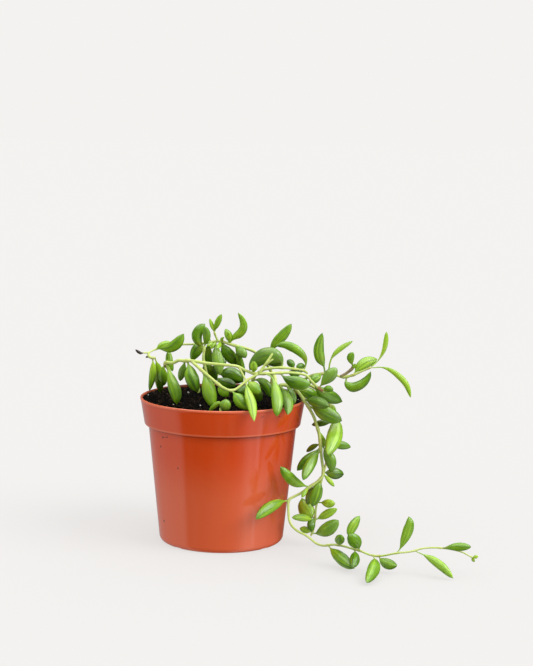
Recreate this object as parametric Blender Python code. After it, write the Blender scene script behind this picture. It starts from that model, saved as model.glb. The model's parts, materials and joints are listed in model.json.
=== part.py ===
"""Potted string of bananas: a trailing succulent in a plastic nursery pot.

The origin is the centre of the pot's underside, +Z is up, and the long trail runs towards +X.
Sizes are in millimetres and become metres where a mesh is made.
"""

import math
import random

import bmesh
import bpy
import numpy as np
from mathutils import Vector

MM = 0.001

# Pot
POT_HEIGHT = 92.0
RIM_RADIUS = 52.5
COLLAR_HEIGHT = 17.0
COLLAR_FOOT_RADIUS = 49.7
BODY_TOP_RADIUS = 47.2
BODY_FOOT_RADIUS = 39.9
FOOT_RADIUS = 37.6
FOOT_CORNER = 3.6
WALL = 1.2
BASE_RECESS = 1.2
RECESS_INNER = 24.5
RECESS_OUTER = 34.2
DRAIN_HOLES = 8
DRAIN_RADIUS = 3.0
DRAIN_RING = 29.3
FOOT_NOTCHES = 4
NOTCH_WIDTH = 6.0
NOTCH_HEIGHT = 0.6
POT_STEPS = 44

# Soil
SOIL_LEVEL = 86.0
HEAP = 4.4
HEAP_REACH = 38.0
SIDE_HEAP = 1.6
SOIL_STEPS = 40
SOIL_GAP = 0.35
HOLE_GAP = 0.45
ROOT_DEPTH = 9.0

# Plant
STEM_STEP = 5.5
STEM_SIDES = 5
LEAF_SIDES = 6
LEAF_THICKNESS = 0.74
LEAF_STATIONS = (0.2, 0.47, 0.76, 0.93)
STALK_RADIUS = 0.72
STALK_SHARE = 0.62
STALK_LENGTH = 0.09
LEAF_PEAK = 0.52
OTHER_STEM_GAP = 0.7
SAME_STEM_GAP = 0.15
ROOT_REACH = 6.5
SWINGS = tuple(step * side for step in range(0, 24, 2) for side in (1, -1))

# Leaves of the stems behind the pot, each value drawn between two limits
REAR_SEED = 7
REAR_LEAVES = 12
REAR_TRIES = 30
REAR_FIRST_LEAF = 0.36
REAR_LAST_LEAF = 0.99
REAR_LENGTH = (15.0, 24.0)
REAR_WIDTH = (5.0, 7.6)
REAR_SIDEWAYS = (0.15, 1.0)
REAR_OUTWARDS = (0.4, 1.0)
REAR_DROP = (0.1, 1.2)
REAR_BEND = (-0.22, 0.3)
REAR_SHIFT = (-0.4, 0.4)

POT_COLOUR = (0.53, 0.082, 0.026)
SOIL_COLOUR = (0.008, 0.007, 0.005)
LEAF_COLOUR = (0.16, 0.33, 0.045)

# The front of the plant is laid out as it looks from this point, a metre before the pot. Each
# place is how far right and how high it looks in the pot's middle plane, with its depth behind
# that plane where the place is on a stem.
EYE = Vector((0.0, -976.3, 261.4))


def seen(right, height, depth):
    """The point at a depth that looks to be at this place of the pot's middle plane."""
    reach = (depth - EYE.y) / -EYE.y
    return Vector((right * reach, depth, EYE.z + (height - EYE.z) * reach))


def as_seen(point):
    """The place of the pot's middle plane where a point looks to be."""
    reach = (point.y - EYE.y) / -EYE.y
    return point.x / reach, EYE.z + (point.z - EYE.z) / reach


def leaf(swing, width, *places, stalk=STALK_LENGTH, peak=LEAF_PEAK):
    """A leaf by its middle line: it swings this far back from its stem to its tip.

    Its stalk ends, and its body is widest, at shares of the whole length and of the body's.
    """
    return {"swing": swing, "width": width, "places": places, "stalk": stalk, "peak": peak}


def stem(route, leaves=(), hole=None, thick=(1.1, 0.8), plain=False):
    """A stem by its route. A plain route holds real points, any other how it looks."""
    return {"route": route, "leaves": leaves, "hole": hole, "thick": thick, "plain": plain}


PLANT = {
    "runner_front": [
        stem(
            hole=(-31.2, 3.0),
            thick=(1.15, 0.75),
            route=[
                (-31.4, 95, 2), (-32.4, 102, -3), (-34.4, 108.6, -9), (-36.6, 111.8, -13),
                (-36.4, 113.4, -15), (-32.0, 113.3, -18), (-28.3, 115.0, -20),
                (-24.8, 114.7, -22), (-20.5, 114.8, -25), (-10.0, 113.3, -28), (0.0, 112.4, -29),
                (8.5, 111.6, -30), (14.4, 108.9, -30), (21.0, 106.9, -30), (28.5, 107.3, -30),
                (34.4, 107.5, -29), (42.0, 107.9, -28), (49.2, 107.2, -27), (53.3, 105.9, -27),
                (56.0, 102.8, -27), (58.9, 99.8, -27), (61.6, 97.6, -27), (65.0, 95.4, -27),
            ],
            leaves=[
                leaf(4, 5.6, (-37, 112.4), (-38.4, 109), (-38.2, 104.5), (-37.4, 98.6)),
                leaf(-8, 7.6, (-36.2, 113), (-35, 109.4), (-32.4, 101), (-30, 93.5),
                     (-29.5, 86.4), peak=0.62),
                leaf(-6, 8.6, (-23, 114.7), (-21.6, 110.5), (-20.4, 105), (-18.4, 99.8),
                     (-16, 94.6)),
                leaf(5, 4.8, (-24.5, 114.7), (-25.4, 110), (-26.6, 105.6), (-27.4, 101.6)),
                leaf(-4, 4.8, (19.6, 107.1), (19.4, 110), (19.3, 112.5), (19.2, 115)),
                leaf(-22, 7.2, (26, 107.1), (30.2, 105.6), (32.8, 100.4), (34.4, 92),
                     (34.8, 86), (34.4, 79.3), stalk=0.2, peak=0.58),
                leaf(-4, 8.2, (36, 107.5), (39.4, 104.4), (45, 102), (50.5, 100.8), (55.8, 101),
                     peak=0.58),
                leaf(12, 8.4, (57.4, 101.4), (60.5, 97.4), (66.5, 93.4), (76.4, 89.4)),
                leaf(-2, 7.6, (61, 98.4), (63.8, 101.6), (67.6, 106), (72.2, 111.2), peak=0.6),
                leaf(-3, 4.2, (63.2, 96.6), (66.6, 97.8), (70.4, 97)),
            ],
        ),
        stem(
            thick=(1.0, 0.7),
            route=[
                (-20.5, 114.8, -25), (-16.8, 111.5, -28), (-14.0, 109.0, -30),
                (-9.8, 105.5, -33), (-6.5, 102.7, -35), (-2.6, 99.5, -36.5), (0.8, 97.3, -37.5),
                (4.7, 95.9, -38), (8.0, 96.7, -37.5), (11.2, 99.2, -36), (14.6, 102.2, -34),
                (18.3, 104.6, -32), (22.5, 107.0, -30),
            ],
            leaves=[
                leaf(-8, 8.8, (-14.2, 109.1), (-11.2, 104), (-9.2, 96.8), (-7.4, 89.6),
                     (-6.5, 84.6), peak=0.56),
                leaf(-3, 6.0, (-3.2, 100), (-2, 97.6), (0.6, 94.8), (3.6, 92)),
                leaf(-6, 7.6, (5.5, 96), (7.9, 93), (11.6, 88.6), (16.4, 83.8)),
                leaf(-24, 6.0, (14.6, 102.2), (15.1, 98.6), (16.4, 93), (18.4, 87),
                     (19.4, 81.5), (20.2, 75.8), peak=0.48),
                leaf(-14, 7.6, (15.6, 102.8), (17.8, 99.8), (20.5, 97), (23.8, 94.6)),
            ],
        ),
        stem(
            thick=(0.7, 0.6),
            route=[(9.5, 111.3, -30), (11.6, 108, -31.5), (13.2, 104.8, -33), (14.6, 102.2, -34)],
        ),
        stem(
            thick=(0.9, 0.7),
            route=[(22.5, 107.0, -30), (25.7, 111.5, -29), (28.0, 115.0, -28),
                   (31.0, 119.8, -26.5)],
        ),
        stem(
            thick=(0.8, 0.6),
            route=[(26.5, 112.6, -28.7), (28.8, 114.4, -30), (31.4, 116.3, -31)],
        ),
    ],
    "shoot_left": [
        stem(
            hole=(-9.2, 1.0),
            thick=(1.1, 0.8),
            route=[(-9.3, 95, 0), (-9.8, 103, -1), (-11.4, 110, -2.5), (-12.7, 115.6, -3),
                   (-12.5, 120, -2.5), (-12.1, 124.3, -2)],
            leaves=[
                leaf(1, 6.8, (-12.2, 122.3), (-16, 127), (-17, 131), (-15.2, 135.2),
                     (-11.8, 138.6)),
                leaf(-4, 5.0, (-11.9, 124), (-10.9, 128.5), (-10.9, 133), (-12, 137)),
                leaf(4, 7.4, (-12.8, 113.6), (-10.6, 112), (-7.4, 107), (-6, 100)),
            ],
        ),
    ],
    "shoot_front": [
        stem(
            hole=(-1.5, -42.0),
            thick=(1.0, 0.9),
            route=[(-1.4, 81.6, -42), (-1.2, 84.4, -42)],
            leaves=[
                leaf(-2, 7.2, (-1.4, 82), (0.2, 83.6), (1.7, 87), (2.4, 90.2)),
                leaf(2, 3.2, (-1.2, 84.2), (-1.8, 87.4), (-4.6, 86.6), (-8.9, 82.2)),
            ],
        ),
    ],
    "runner_rear": [
        stem(
            hole=(33.0, 17.0),
            thick=(1.2, 0.42),
            route=[
                (32.6, 98, 16), (31.8, 104, 15), (29.6, 110, 13), (25.5, 116, 10),
                (19.6, 121.1, 7), (12, 123.8, 5), (6.8, 125, 4), (0.2, 127, 3), (-3.8, 127.6, 3),
                (-9.3, 126.6, 4), (-15, 125.9, 6), (-20, 125.4, 7), (-25.7, 125.2, 6),
                (-33, 124, 3), (-38, 122.9, 0), (-43.3, 121.8, -4), (-47, 119.9, -7),
                (-49.2, 119.6, -8), (-50.8, 119.6, -8.5),
            ],
            leaves=[
                leaf(-4, 6.6, (26.5, 114.8), (28.8, 120.5), (32.5, 126.3), (36.5, 130.6),
                     (40, 134.8), (42.9, 139.4), stalk=0.25),
                leaf(-4, 6.2, (6.8, 125), (10, 122), (12.6, 119.6), (14.3, 117)),
                leaf(-3, 5.4, (3.2, 126.2), (6.8, 130.2), (10.6, 133), (12.6, 137),
                     (11.6, 141.5), (8.8, 146), peak=0.42),
                leaf(2, 5.0, (4, 126.2), (3.6, 130), (1, 135.6), peak=0.45),
                leaf(-2, 3.0, (3, 126.2), (3.6, 129.6), (3.0, 133.6)),
                leaf(1, 4.4, (7.3, 124.9), (9, 120), (11, 113), (13.6, 105)),
                leaf(-3, 2.4, (-4.6, 127.5), (-6.4, 124.8), (-8.4, 122.5)),
                leaf(-9, 2.8, (-1.8, 127.3), (-2.6, 125), (-4.2, 122.8)),
                leaf(2, 2.2, (-8.4, 126.8), (-9.6, 128.9)),
                leaf(-5, 2.2, (-6.5, 127), (-9, 125), (-11, 124.6)),
                leaf(-6, 2.0, (-0.6, 127.2), (-1.2, 129), (0.2, 130.2)),
                leaf(3, 7.2, (-12.2, 126.3), (-14.8, 124.4), (-17.6, 120.5), (-20.3, 114.8),
                     stalk=0.05, peak=0.42),
                leaf(-2, 6.4, (-9.2, 126.5), (-9.9, 121.5), (-10, 115), (-9.4, 108.8),
                     stalk=0.05),
                leaf(2, 7.8, (-1.5, 127.4), (1.5, 121.4), (5, 117.2), (10.6, 112.4), stalk=0.05),
                leaf(-7, 7.4, (-5.3, 127.5), (-4.5, 121), (-3.3, 113.5), (-1.9, 105.5)),
                leaf(-5, 7.0, (-43, 121.8), (-39, 122.4), (-34, 123), (-29.3, 126),
                     (-25.2, 132.2), peak=0.55),
                leaf(2, 4.2, (-43, 121.8), (-39, 124.6), (-33, 126.4)),
                leaf(-4, 4.8, (-35, 123.5), (-34.6, 118), (-34, 113), (-32, 107.8)),
                leaf(-1, 1.9, (-50.4, 119.6), (-52.4, 119.3), (-54.2, 120.3), (-55.9, 121.6),
                     stalk=0.05),
            ],
        ),
        stem(
            thick=(0.7, 0.6),
            route=[(-3.6, 127.6, 3), (-5, 130.5, 2.5), (-6, 133.6, 2)],
            leaves=[
                leaf(-1, 3.8, (-6, 133.2), (-5, 136.5), (-3.6, 140.3), (-1.5, 145)),
                leaf(1, 2.6, (-5.9, 132.8), (-7.3, 137), (-9, 142)),
            ],
        ),
        stem(
            thick=(0.8, 0.7),
            route=[(-47.3, 119.7, -7.1), (-47.5, 117.8, -8), (-45.8, 116.4, -9),
                   (-43.2, 116.4, -10)],
            leaves=[
                leaf(1, 4.5, (-44.8, 116), (-44.5, 110), (-45.1, 103), (-46.9, 95), peak=0.43),
                leaf(-3, 6.3, (-43.4, 116.1), (-41.6, 111), (-40.6, 104), (-39.8, 93.6),
                     peak=0.48),
                leaf(0, 1.2, (-47.4, 117.2), (-48.4, 117), (-49.4, 116.6)),
            ],
        ),
    ],
    "shoot_crown": [
        stem(
            hole=(17.0, -13.0),
            thick=(1.1, 0.7),
            route=[
                (17.3, 95, -13), (19, 103, -17), (21.5, 107, -20), (25, 109.3, -22),
                (28.5, 110.3, -22.5), (34, 111, -22), (39.5, 110.9, -20), (45, 110.3, -17.5),
                (50.5, 109.6, -15), (53.6, 107.6, -14),
            ],
            leaves=[
                leaf(8, 10.5, (37, 111), (37.6, 114), (34, 117.6), (29, 118.8), (24, 117.4),
                     (19.6, 113.6), (16.6, 109), peak=0.4),
                leaf(5, 8.5, (37.5, 111), (36.2, 114.2), (32, 116), (27.4, 114.4)),
                leaf(4, 4.6, (45, 110.4), (43.6, 113.2), (40.4, 116)),
                leaf(-5, 6.2, (19, 103), (23.6, 102.6), (28.2, 98.4), (30.4, 91.8)),
                leaf(-4, 6.2, (17.6, 100), (15.6, 97.6), (12.8, 95.8), (8.8, 95.6)),
                leaf(3, 6.0, (18, 99), (20, 97.4), (22.4, 93.6), (23.4, 88.6)),
                leaf(6, 5.6, (51, 109.5), (52.4, 113), (51.6, 117.5), (48.3, 121.2), (44, 124),
                     (38.5, 125.8), (32.8, 125), peak=0.55),
                leaf(-3, 4.4, (50.8, 109.5), (48.4, 107.8), (45, 107.4), (41, 108.4)),
                leaf(3, 4.2, (46, 110.2), (48.6, 112), (52, 112.4)),
            ],
        ),
    ],
    "sprig_right": [
        stem(
            hole=(43.0, -2.0),
            thick=(1.1, 0.7),
            route=[
                (44.5, 95, -2), (48, 100, -4), (53, 104.5, -7), (58, 106.8, -9),
                (64, 107.4, -11), (69, 107, -12), (73, 106.2, -13), (76.7, 104.9, -14),
            ],
            leaves=[
                leaf(-3, 6.8, (64.5, 107.4), (64, 112), (61.4, 117.5), (60.4, 123),
                     (61.2, 128.5), (62.6, 133.8), stalk=0.16, peak=0.42),
                leaf(3, 3.2, (67, 107.3), (67.4, 112.5), (69.2, 118.3), (74.4, 123.8),
                     (82.2, 128.8), stalk=0.32),
                leaf(-4, 5.4, (63, 107.4), (60.6, 105.4), (57.6, 103.4), (55, 101.4)),
            ],
        ),
        stem(
            thick=(1.0, 0.8),
            route=[(74.6, 105.6, -13.4), (78, 107.6, -13.6), (82, 111, -14), (82.6, 113, -14)],
            leaves=[
                leaf(-3, 4.8, (82.5, 112.6), (81.3, 115.5), (80.9, 118.5), (82.3, 121.5),
                     peak=0.6),
                leaf(-2, 2.2, (81.5, 110.6), (83.2, 112.2), (84, 114.3)),
            ],
        ),
        stem(
            thick=(0.85, 0.55),
            route=[(76.2, 105.1, -13.9), (82.8, 106.8, -16), (88.6, 109.5, -17),
                   (94, 111.8, -18)],
            leaves=[
                leaf(4, 7.0, (82.5, 106.7), (86, 111.3), (91, 115), (98, 117.3)),
                leaf(2, 3.2, (93.6, 111.6), (98.2, 116), (101.6, 122), (103, 128),
                     (103.4, 135), stalk=0.2, peak=0.66),
                leaf(-4, 3.9, (93, 111.4), (100.6, 112), (106.5, 110.2), (112.4, 106),
                     (117.2, 100.4), (120, 92.6), stalk=0.16, peak=0.58),
                leaf(-4, 6.2, (78.6, 105.6), (78.4, 101.6), (82.5, 98.9), (88, 100.8),
                     (92, 104.8), (94.1, 109.4), peak=0.36),
            ],
        ),
    ],
    "trail_front": [
        stem(
            hole=(34.0, -17.0),
            thick=(1.1, 0.42),
            route=[
                (35, 95, -18), (36.4, 99.4, -20), (40.3, 99.8, -20), (44.8, 98.4, -19),
                (47, 96.2, -18.5), (49.8, 93, -18.5), (52.2, 89.4, -19.5), (54.5, 86.3, -20.5),
                (56.3, 83, -21), (58.3, 79.3, -21.5), (59.8, 75, -22), (61.3, 70.3, -23),
                (62.3, 65.5, -24), (62.9, 60.5, -25.5), (63.3, 56, -26.5), (64.1, 50, -27.5),
                (64.9, 44.5, -28.5), (64.3, 40.5, -29.5), (60.3, 36.4, -30), (56.3, 33.7, -30.5),
                (50.9, 29.6, -31), (46.7, 27.4, -31.5), (43.2, 25, -32.5), (42.9, 20.5, -33.5),
                (43.2, 15.4, -35), (43.7, 11.6, -37), (45.2, 8.3, -39), (47.5, 5.8, -41),
                (50.4, 3.8, -43), (53.8, 2.2, -45), (57, 0, -47), (60.3, -2.8, -49.5),
                (63.3, -4.4, -52), (66.5, -5, -55), (69.8, -4.5, -57.5), (73.8, -4.3, -60),
                (77.8, -4.9, -62.5), (81.5, -5.9, -65), (85.3, -7, -67), (90.3, -8.4, -70),
                (95.5, -10.6, -73), (100.6, -11.6, -75.5), (105.7, -11.2, -77),
                (110.8, -10.1, -78.5), (115.3, -9.3, -79.5), (120, -8.9, -80),
                (125, -7.9, -80.5), (129.5, -6.5, -80.5), (135.3, -5.8, -80.5),
                (141.8, -5.9, -80.5), (149, -6.8, -80), (156.5, -8.7, -79.5),
                (160.5, -10.8, -79), (163.2, -12, -79),
            ],
            leaves=[
                leaf(-20, 6.6, (36.4, 99.4), (37.8, 97.4), (40, 93.3), (41.6, 88.5),
                     (42, 84.5), (41.4, 80.6)),
                leaf(6, 7.4, (46.4, 96.8), (50.4, 96.6), (55, 94.6), (61.4, 91)),
                leaf(-10, 4.6, (40.3, 99.8), (42.8, 96), (44.8, 91.6), (45.2, 87.4)),
                leaf(6, 7.6, (51.4, 90.6), (56, 90), (61.6, 88.6), (68, 86.4)),
                leaf(-6, 9.8, (54.5, 86.3), (59.5, 84.6), (66, 81.6), (71.5, 79), (76.4, 77)),
                leaf(9, 3.4, (62.7, 62), (60, 61), (57, 59.2), (53.8, 56.6)),
                leaf(-2, 6.2, (62.9, 60), (58.2, 54.6), (52.8, 49.8), (48, 44.2)),
                leaf(-6, 6.8, (63.1, 58.5), (58.6, 52), (54.8, 45), (52, 38)),
                leaf(-2, 3.2, (61, 71.4), (63, 67), (66.8, 59.4)),
                leaf(-6, 7.2, (62.4, 64), (65.6, 58.4), (69.4, 51.4), (70.8, 43.8), stalk=0.24),
                leaf(3, 7.2, (64.9, 43.5), (69, 43), (73.5, 42.6), (78.3, 42.2)),
                leaf(-4, 3.0, (64.9, 42.6), (66.8, 40.4), (69.5, 37.5), (72.3, 34)),
                leaf(-3, 7.6, (63.3, 39.4), (62.4, 35), (60.6, 28.5), (58.2, 20.6)),
                leaf(16, 4.6, (58.6, 35.2), (57, 31), (56, 26.6), (55.4, 21.6)),
                leaf(-6, 2.8, (55.4, 33), (53.6, 30.4), (51.4, 26.6)),
                leaf(-4, 6.8, (56.3, 33.8), (52.5, 34.7), (46.5, 37), (41, 42.2), (37.3, 47)),
                leaf(-9, 7.2, (43.1, 24.4), (38.5, 23.8), (32, 20.6), (26.3, 16.4), (22, 12)),
                leaf(-5, 8.0, (89.5, -8.1), (88.4, -5), (85.6, -1), (82, 2.6)),
                leaf(5, 5.8, (87.5, -7.5), (84.8, -1), (83.4, 4.4), (86, 10), (89.2, 15),
                     stalk=0.3),
                leaf(-12, 6.0, (76, -4.6), (76.4, -1.6), (76.8, 0.8), (77, 1.9)),
                leaf(-19, 7.4, (68.8, -4.7), (72, -8.3), (76.5, -12.2), (81.5, -16.6),
                     (86.6, -20)),
                leaf(-11, 6.2, (86.3, -7.2), (86.6, -11), (86.5, -15), (85.5, -19.5)),
                leaf(-23, 7.6, (98.8, -11.3), (99.8, -16), (98.8, -21), (96.8, -25.5),
                     (94.6, -29.6), peak=0.42),
                leaf(-7, 6.4, (102, -11.5), (104, -14.3), (108.5, -17), (114.2, -17.9)),
                leaf(3, 6.2, (113.5, -9.5), (115.8, -6.5), (118.2, -1), (120.4, 5),
                     (121.6, 10), (120.9, 15), peak=0.6),
                leaf(-13, 5.2, (125, -7.9), (130.4, -10.2), (137.4, -14), (144, -19),
                     (151, -26.2), stalk=0.18),
                leaf(-1, 5.0, (141.8, -5.9), (146, -5.7), (153, -5), (161.9, -5), peak=0.6),
                leaf(-1, 2.2, (163, -12), (164.6, -11.7), (166.8, -11.2)),
                leaf(2, 2.0, (162.6, -11.8), (163.4, -13.4), (164.4, -15)),
            ],
        ),
    ],
    "trail_rear": [
        stem(
            hole=(40.0, 12.0),
            thick=(1.1, 0.6),
            route=[
                (41, 95, 12), (44, 99, 11), (49, 101, 8), (55, 100, 4), (61, 96.5, 0),
                (66, 91.5, -3), (69.3, 85, -5), (70.4, 77, -6.5), (70, 68, -8), (68.6, 60, -9.5),
                (66.8, 50, -11), (64.4, 40, -13), (62.3, 30, -15), (60.8, 20, -17),
                (60.2, 12, -18.5), (59.2, 5, -19.5), (57.8, 1.6, -20),
            ],
            leaves=[
                leaf(-2, 3.0, (68, 88.3), (69.8, 86.5), (71, 84), (72.2, 81.5)),
                leaf(-14, 10.0, (70, 82), (72.4, 77), (72.4, 70), (70.6, 63), (67.6, 54.6)),
                leaf(4, 5.4, (69.6, 65), (73.5, 61.8), (78, 61), (82.4, 60)),
                leaf(5, 4.2, (70.4, 76), (66, 75.8), (61.5, 75.2), (56.8, 74.2)),
                leaf(-8, 5.4, (61.4, 24), (64.6, 23.4), (68.8, 22.9), (73, 22.8), stalk=0.22,
                     peak=0.55),
                leaf(-3, 5.4, (60.2, 12.2), (64, 13.8), (69, 16.6), (74.6, 19.6)),
                leaf(3, 10.0, (60.2, 12.5), (56.8, 15.5), (53.4, 20.5), (51.4, 26.4),
                     peak=0.42),
                leaf(-3, 4.8, (60.1, 12), (55.5, 12.8), (51, 13.6), (45.2, 13.4)),
                leaf(-4, 5.2, (60.3, 13.5), (58.2, 10.5), (57.9, 7.5), (58.4, 4.2)),
                leaf(-4, 8.8, (58.6, 3), (62, 3.3), (69, 6.2), (75.6, 12)),
                leaf(2, 4.4, (58.9, 3.8), (55.5, 5), (50.4, 6.4)),
            ],
        ),
    ],
    "stem_rear_middle": [
        stem(
            hole=(-7.0, 17.0),
            thick=(1.2, 0.8),
            plain=True,
            route=[(-6.5, 21, 97), (-4, 30, 102), (0, 42, 101), (3, 52, 97.5), (4.5, 59, 88),
                   (6, 61, 75), (7, 59, 61), (8, 57, 48)],
            leaves=[
                leaf(-4, 10.0, (-3.2, 106.6), (0.4, 107), (6, 105.8), (13, 101.8), stalk=0.04),
                leaf(-6, 7.6, (-2.2, 103.6), (-1, 101.6), (3, 100.2), (8.4, 99.4)),
                leaf(-5, 7.6, (-2.6, 104.4), (-5.5, 105.4), (-9, 108.2), (-12.4, 112.2),
                     stalk=0.05),
                leaf(4, 6.4, (-4.4, 106.4), (-3.6, 110), (-1.6, 113.6), (1.8, 117)),
            ],
        ),
    ],
    "stem_rear_right": [
        stem(
            hole=(34.5, 26.0),
            thick=(1.2, 0.8),
            plain=True,
            route=[(34.3, 31, 97), (33.8, 37, 100), (33, 43, 99), (32.4, 49.5, 94), (32, 53, 84),
                   (32, 53, 70), (31, 51, 57), (30, 50, 44), (29, 49, 34)],
        ),
    ],
    "stem_rear_left": [
        stem(
            hole=(-16.0, 20.0),
            thick=(1.2, 0.8),
            plain=True,
            route=[(-16.5, 26, 94.5), (-17.5, 35, 97), (-19.5, 44, 97), (-22, 53, 93.5),
                   (-24.5, 59, 85), (-26, 59, 73), (-27.5, 56, 61), (-28.5, 53.5, 50),
                   (-31, 52, 41)],
        ),
    ],
}
REAR_STEMS = ("stem_rear_middle", "stem_rear_right", "stem_rear_left")


def material(name, colour, roughness):
    made = bpy.data.materials.new(name)
    made.use_nodes = True
    shader = made.node_tree.nodes["Principled BSDF"]
    shader.inputs["Base Color"].default_value = (*colour, 1.0)
    shader.inputs["Roughness"].default_value = roughness
    shader.inputs["Metallic"].default_value = 0.0
    made.diffuse_color = (*colour, 1.0)
    return made


def mesh_object(name, mesh_builder, finish=None):
    """A new object from a bmesh whose sizes are millimetres."""
    bmesh.ops.scale(mesh_builder, vec=(MM, MM, MM), verts=mesh_builder.verts)
    mesh = bpy.data.meshes.new(name)
    mesh_builder.to_mesh(mesh)
    mesh_builder.free()
    made = bpy.data.objects.new(name, mesh)
    bpy.context.scene.collection.objects.link(made)
    if finish:
        mesh.materials.append(finish)
    return made


def turned(profile, steps):
    """A profile of (radius, height) points, from axis to axis, turned round Z."""
    builder = bmesh.new()
    points = [builder.verts.new((radius, 0.0, height)) for radius, height in profile]
    edges = [builder.edges.new(pair) for pair in zip(points, points[1:])]
    bmesh.ops.spin(
        builder, geom=points + edges, cent=(0, 0, 0), axis=(0, 0, 1),
        angle=math.tau, steps=steps, use_merge=True,
    )
    bmesh.ops.remove_doubles(builder, verts=builder.verts, dist=0.001)
    bmesh.ops.recalc_face_normals(builder, faces=builder.faces)
    return builder


def cylinder(radius, low, high, place, sides):
    builder = bmesh.new()
    bmesh.ops.create_cone(
        builder, cap_ends=True, segments=sides, radius1=radius, radius2=radius, depth=high - low,
    )
    bmesh.ops.translate(builder, vec=(place[0], place[1], (low + high) / 2), verts=builder.verts)
    return builder


def box(size, place, turn):
    builder = bmesh.new()
    bmesh.ops.create_cube(builder, size=1.0)
    bmesh.ops.scale(builder, vec=size, verts=builder.verts)
    bmesh.ops.translate(builder, vec=place, verts=builder.verts)
    sine, cosine = math.sin(turn), math.cos(turn)
    for point in builder.verts:
        x, y = point.co.x, point.co.y
        point.co.x = x * cosine - y * sine
        point.co.y = x * sine + y * cosine
    return builder


def apply_boolean(target, others, operation, solver="EXACT"):
    """One Boolean with every other object at once, applied, and those objects removed."""
    tools = bpy.data.collections.new(target.name + "_tools")
    bpy.context.scene.collection.children.link(tools)
    for other in others:
        bpy.context.scene.collection.objects.unlink(other)
        tools.objects.link(other)
        other.hide_render = True
        other.display_type = "WIRE"
    modifier = target.modifiers.new(operation.title(), "BOOLEAN")
    modifier.operation = operation
    modifier.solver = solver
    modifier.operand_type = "COLLECTION"
    modifier.collection = tools
    view = bpy.context.evaluated_depsgraph_get()
    joined = bpy.data.meshes.new_from_object(target.evaluated_get(view))
    target.modifiers.remove(modifier)
    plain = target.data
    target.data = joined
    joined.name = target.name
    bpy.data.meshes.remove(plain)
    for other in others:
        mesh = other.data
        bpy.data.objects.remove(other)
        bpy.data.meshes.remove(mesh)
    bpy.data.collections.remove(tools)


def pot_wall(height):
    """Outer radius of the pot's wall at a height above the foot's corner."""
    collar_foot = POT_HEIGHT - COLLAR_HEIGHT
    if height >= collar_foot:
        share = (height - collar_foot) / COLLAR_HEIGHT
        return COLLAR_FOOT_RADIUS + (RIM_RADIUS - COLLAR_FOOT_RADIUS) * share
    share = (height - FOOT_CORNER) / (collar_foot - FOOT_CORNER)
    return BODY_FOOT_RADIUS + (BODY_TOP_RADIUS - BODY_FOOT_RADIUS) * share


def pot_inside():
    """The inner face of the pot from the top of its floor to the rim."""
    floor = BASE_RECESS + WALL
    step = POT_HEIGHT - COLLAR_HEIGHT
    return [
        (pot_wall(FOOT_CORNER) - WALL - 3.0, floor),
        (pot_wall(floor + 2.6) - WALL - 0.3, floor + 2.6),
        (pot_wall(step - 2.0) - WALL, step - 2.0),
        (BODY_TOP_RADIUS - WALL + 0.4, step + 0.2),
        (COLLAR_FOOT_RADIUS - WALL, step + 1.4),
        (RIM_RADIUS - WALL - 0.15, POT_HEIGHT - 0.7),
    ]


def make_pot():
    step = POT_HEIGHT - COLLAR_HEIGHT
    corner = []
    for index in range(4):
        angle = math.pi / 2 * index / 3
        corner.append((
            FOOT_RADIUS + (BODY_FOOT_RADIUS - FOOT_RADIUS) * math.sin(angle),
            FOOT_CORNER * (1 - math.cos(angle)),
        ))
    profile = [(0, 0), (RECESS_INNER, 0), (RECESS_INNER + 0.6, BASE_RECESS)]
    profile += [(RECESS_OUTER - 0.6, BASE_RECESS), (RECESS_OUTER, 0)]
    profile += corner
    profile += [
        (BODY_TOP_RADIUS, step),
        (BODY_TOP_RADIUS + 0.7, step - 0.25),
        (COLLAR_FOOT_RADIUS - 0.6, step + 0.15),
        (COLLAR_FOOT_RADIUS, step + 1.1),
        (RIM_RADIUS - 0.1, POT_HEIGHT - 0.8),
        (RIM_RADIUS - 0.15, POT_HEIGHT - 0.25),
        (RIM_RADIUS - 0.45, POT_HEIGHT),
        (RIM_RADIUS - WALL + 0.2, POT_HEIGHT),
    ]
    inside = pot_inside()
    profile += inside[::-1]
    profile.append((0, inside[0][1]))
    made = mesh_object(
        "pot", turned(profile, POT_STEPS), material("terracotta_plastic", POT_COLOUR, 0.42),
    )
    cutters = []
    for index in range(DRAIN_HOLES):
        angle = math.tau * (index + 0.5) / DRAIN_HOLES
        place = (DRAIN_RING * math.cos(angle), DRAIN_RING * math.sin(angle))
        hole = cylinder(DRAIN_RADIUS, -2.0, 2 * BASE_RECESS + WALL + 2.0, place, 10)
        cutters.append(mesh_object("drain_cutter", hole))
    length = BODY_FOOT_RADIUS - RECESS_OUTER + 4.0
    for index in range(FOOT_NOTCHES):
        notch = box(
            (length, NOTCH_WIDTH, 2 * NOTCH_HEIGHT),
            (RECESS_OUTER + length / 2 - 1.5, 0.0, 0.0),
            math.tau * (index + 0.5) / FOOT_NOTCHES,
        )
        cutters.append(mesh_object("notch_cutter", notch))
    apply_boolean(made, cutters, "DIFFERENCE")
    made.data.shade_smooth()
    made.data.set_sharp_from_angle(angle=math.radians(32))
    return made


def soil_height(x, y):
    """Height of the soil's loose surface, which is heaped up towards the back and the sides."""
    roll = 0.5 * math.sin(0.11 * x + 0.7) * math.cos(0.13 * y)
    lumps = 0.35 * math.sin(0.31 * x + 0.23 * y) * math.sin(0.27 * y - 0.19 * x + 1.1)
    back = max(-1.0, min(1.0, y / HEAP_REACH))
    heap = HEAP * (0.5 + 0.5 * math.sin(math.pi / 2 * back)) + SIDE_HEAP * (x / RIM_RADIUS) ** 2
    fall = -0.6 * (math.hypot(x, y) / RIM_RADIUS) ** 4
    return SOIL_LEVEL + 0.6 + roll + lumps + heap + fall


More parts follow.
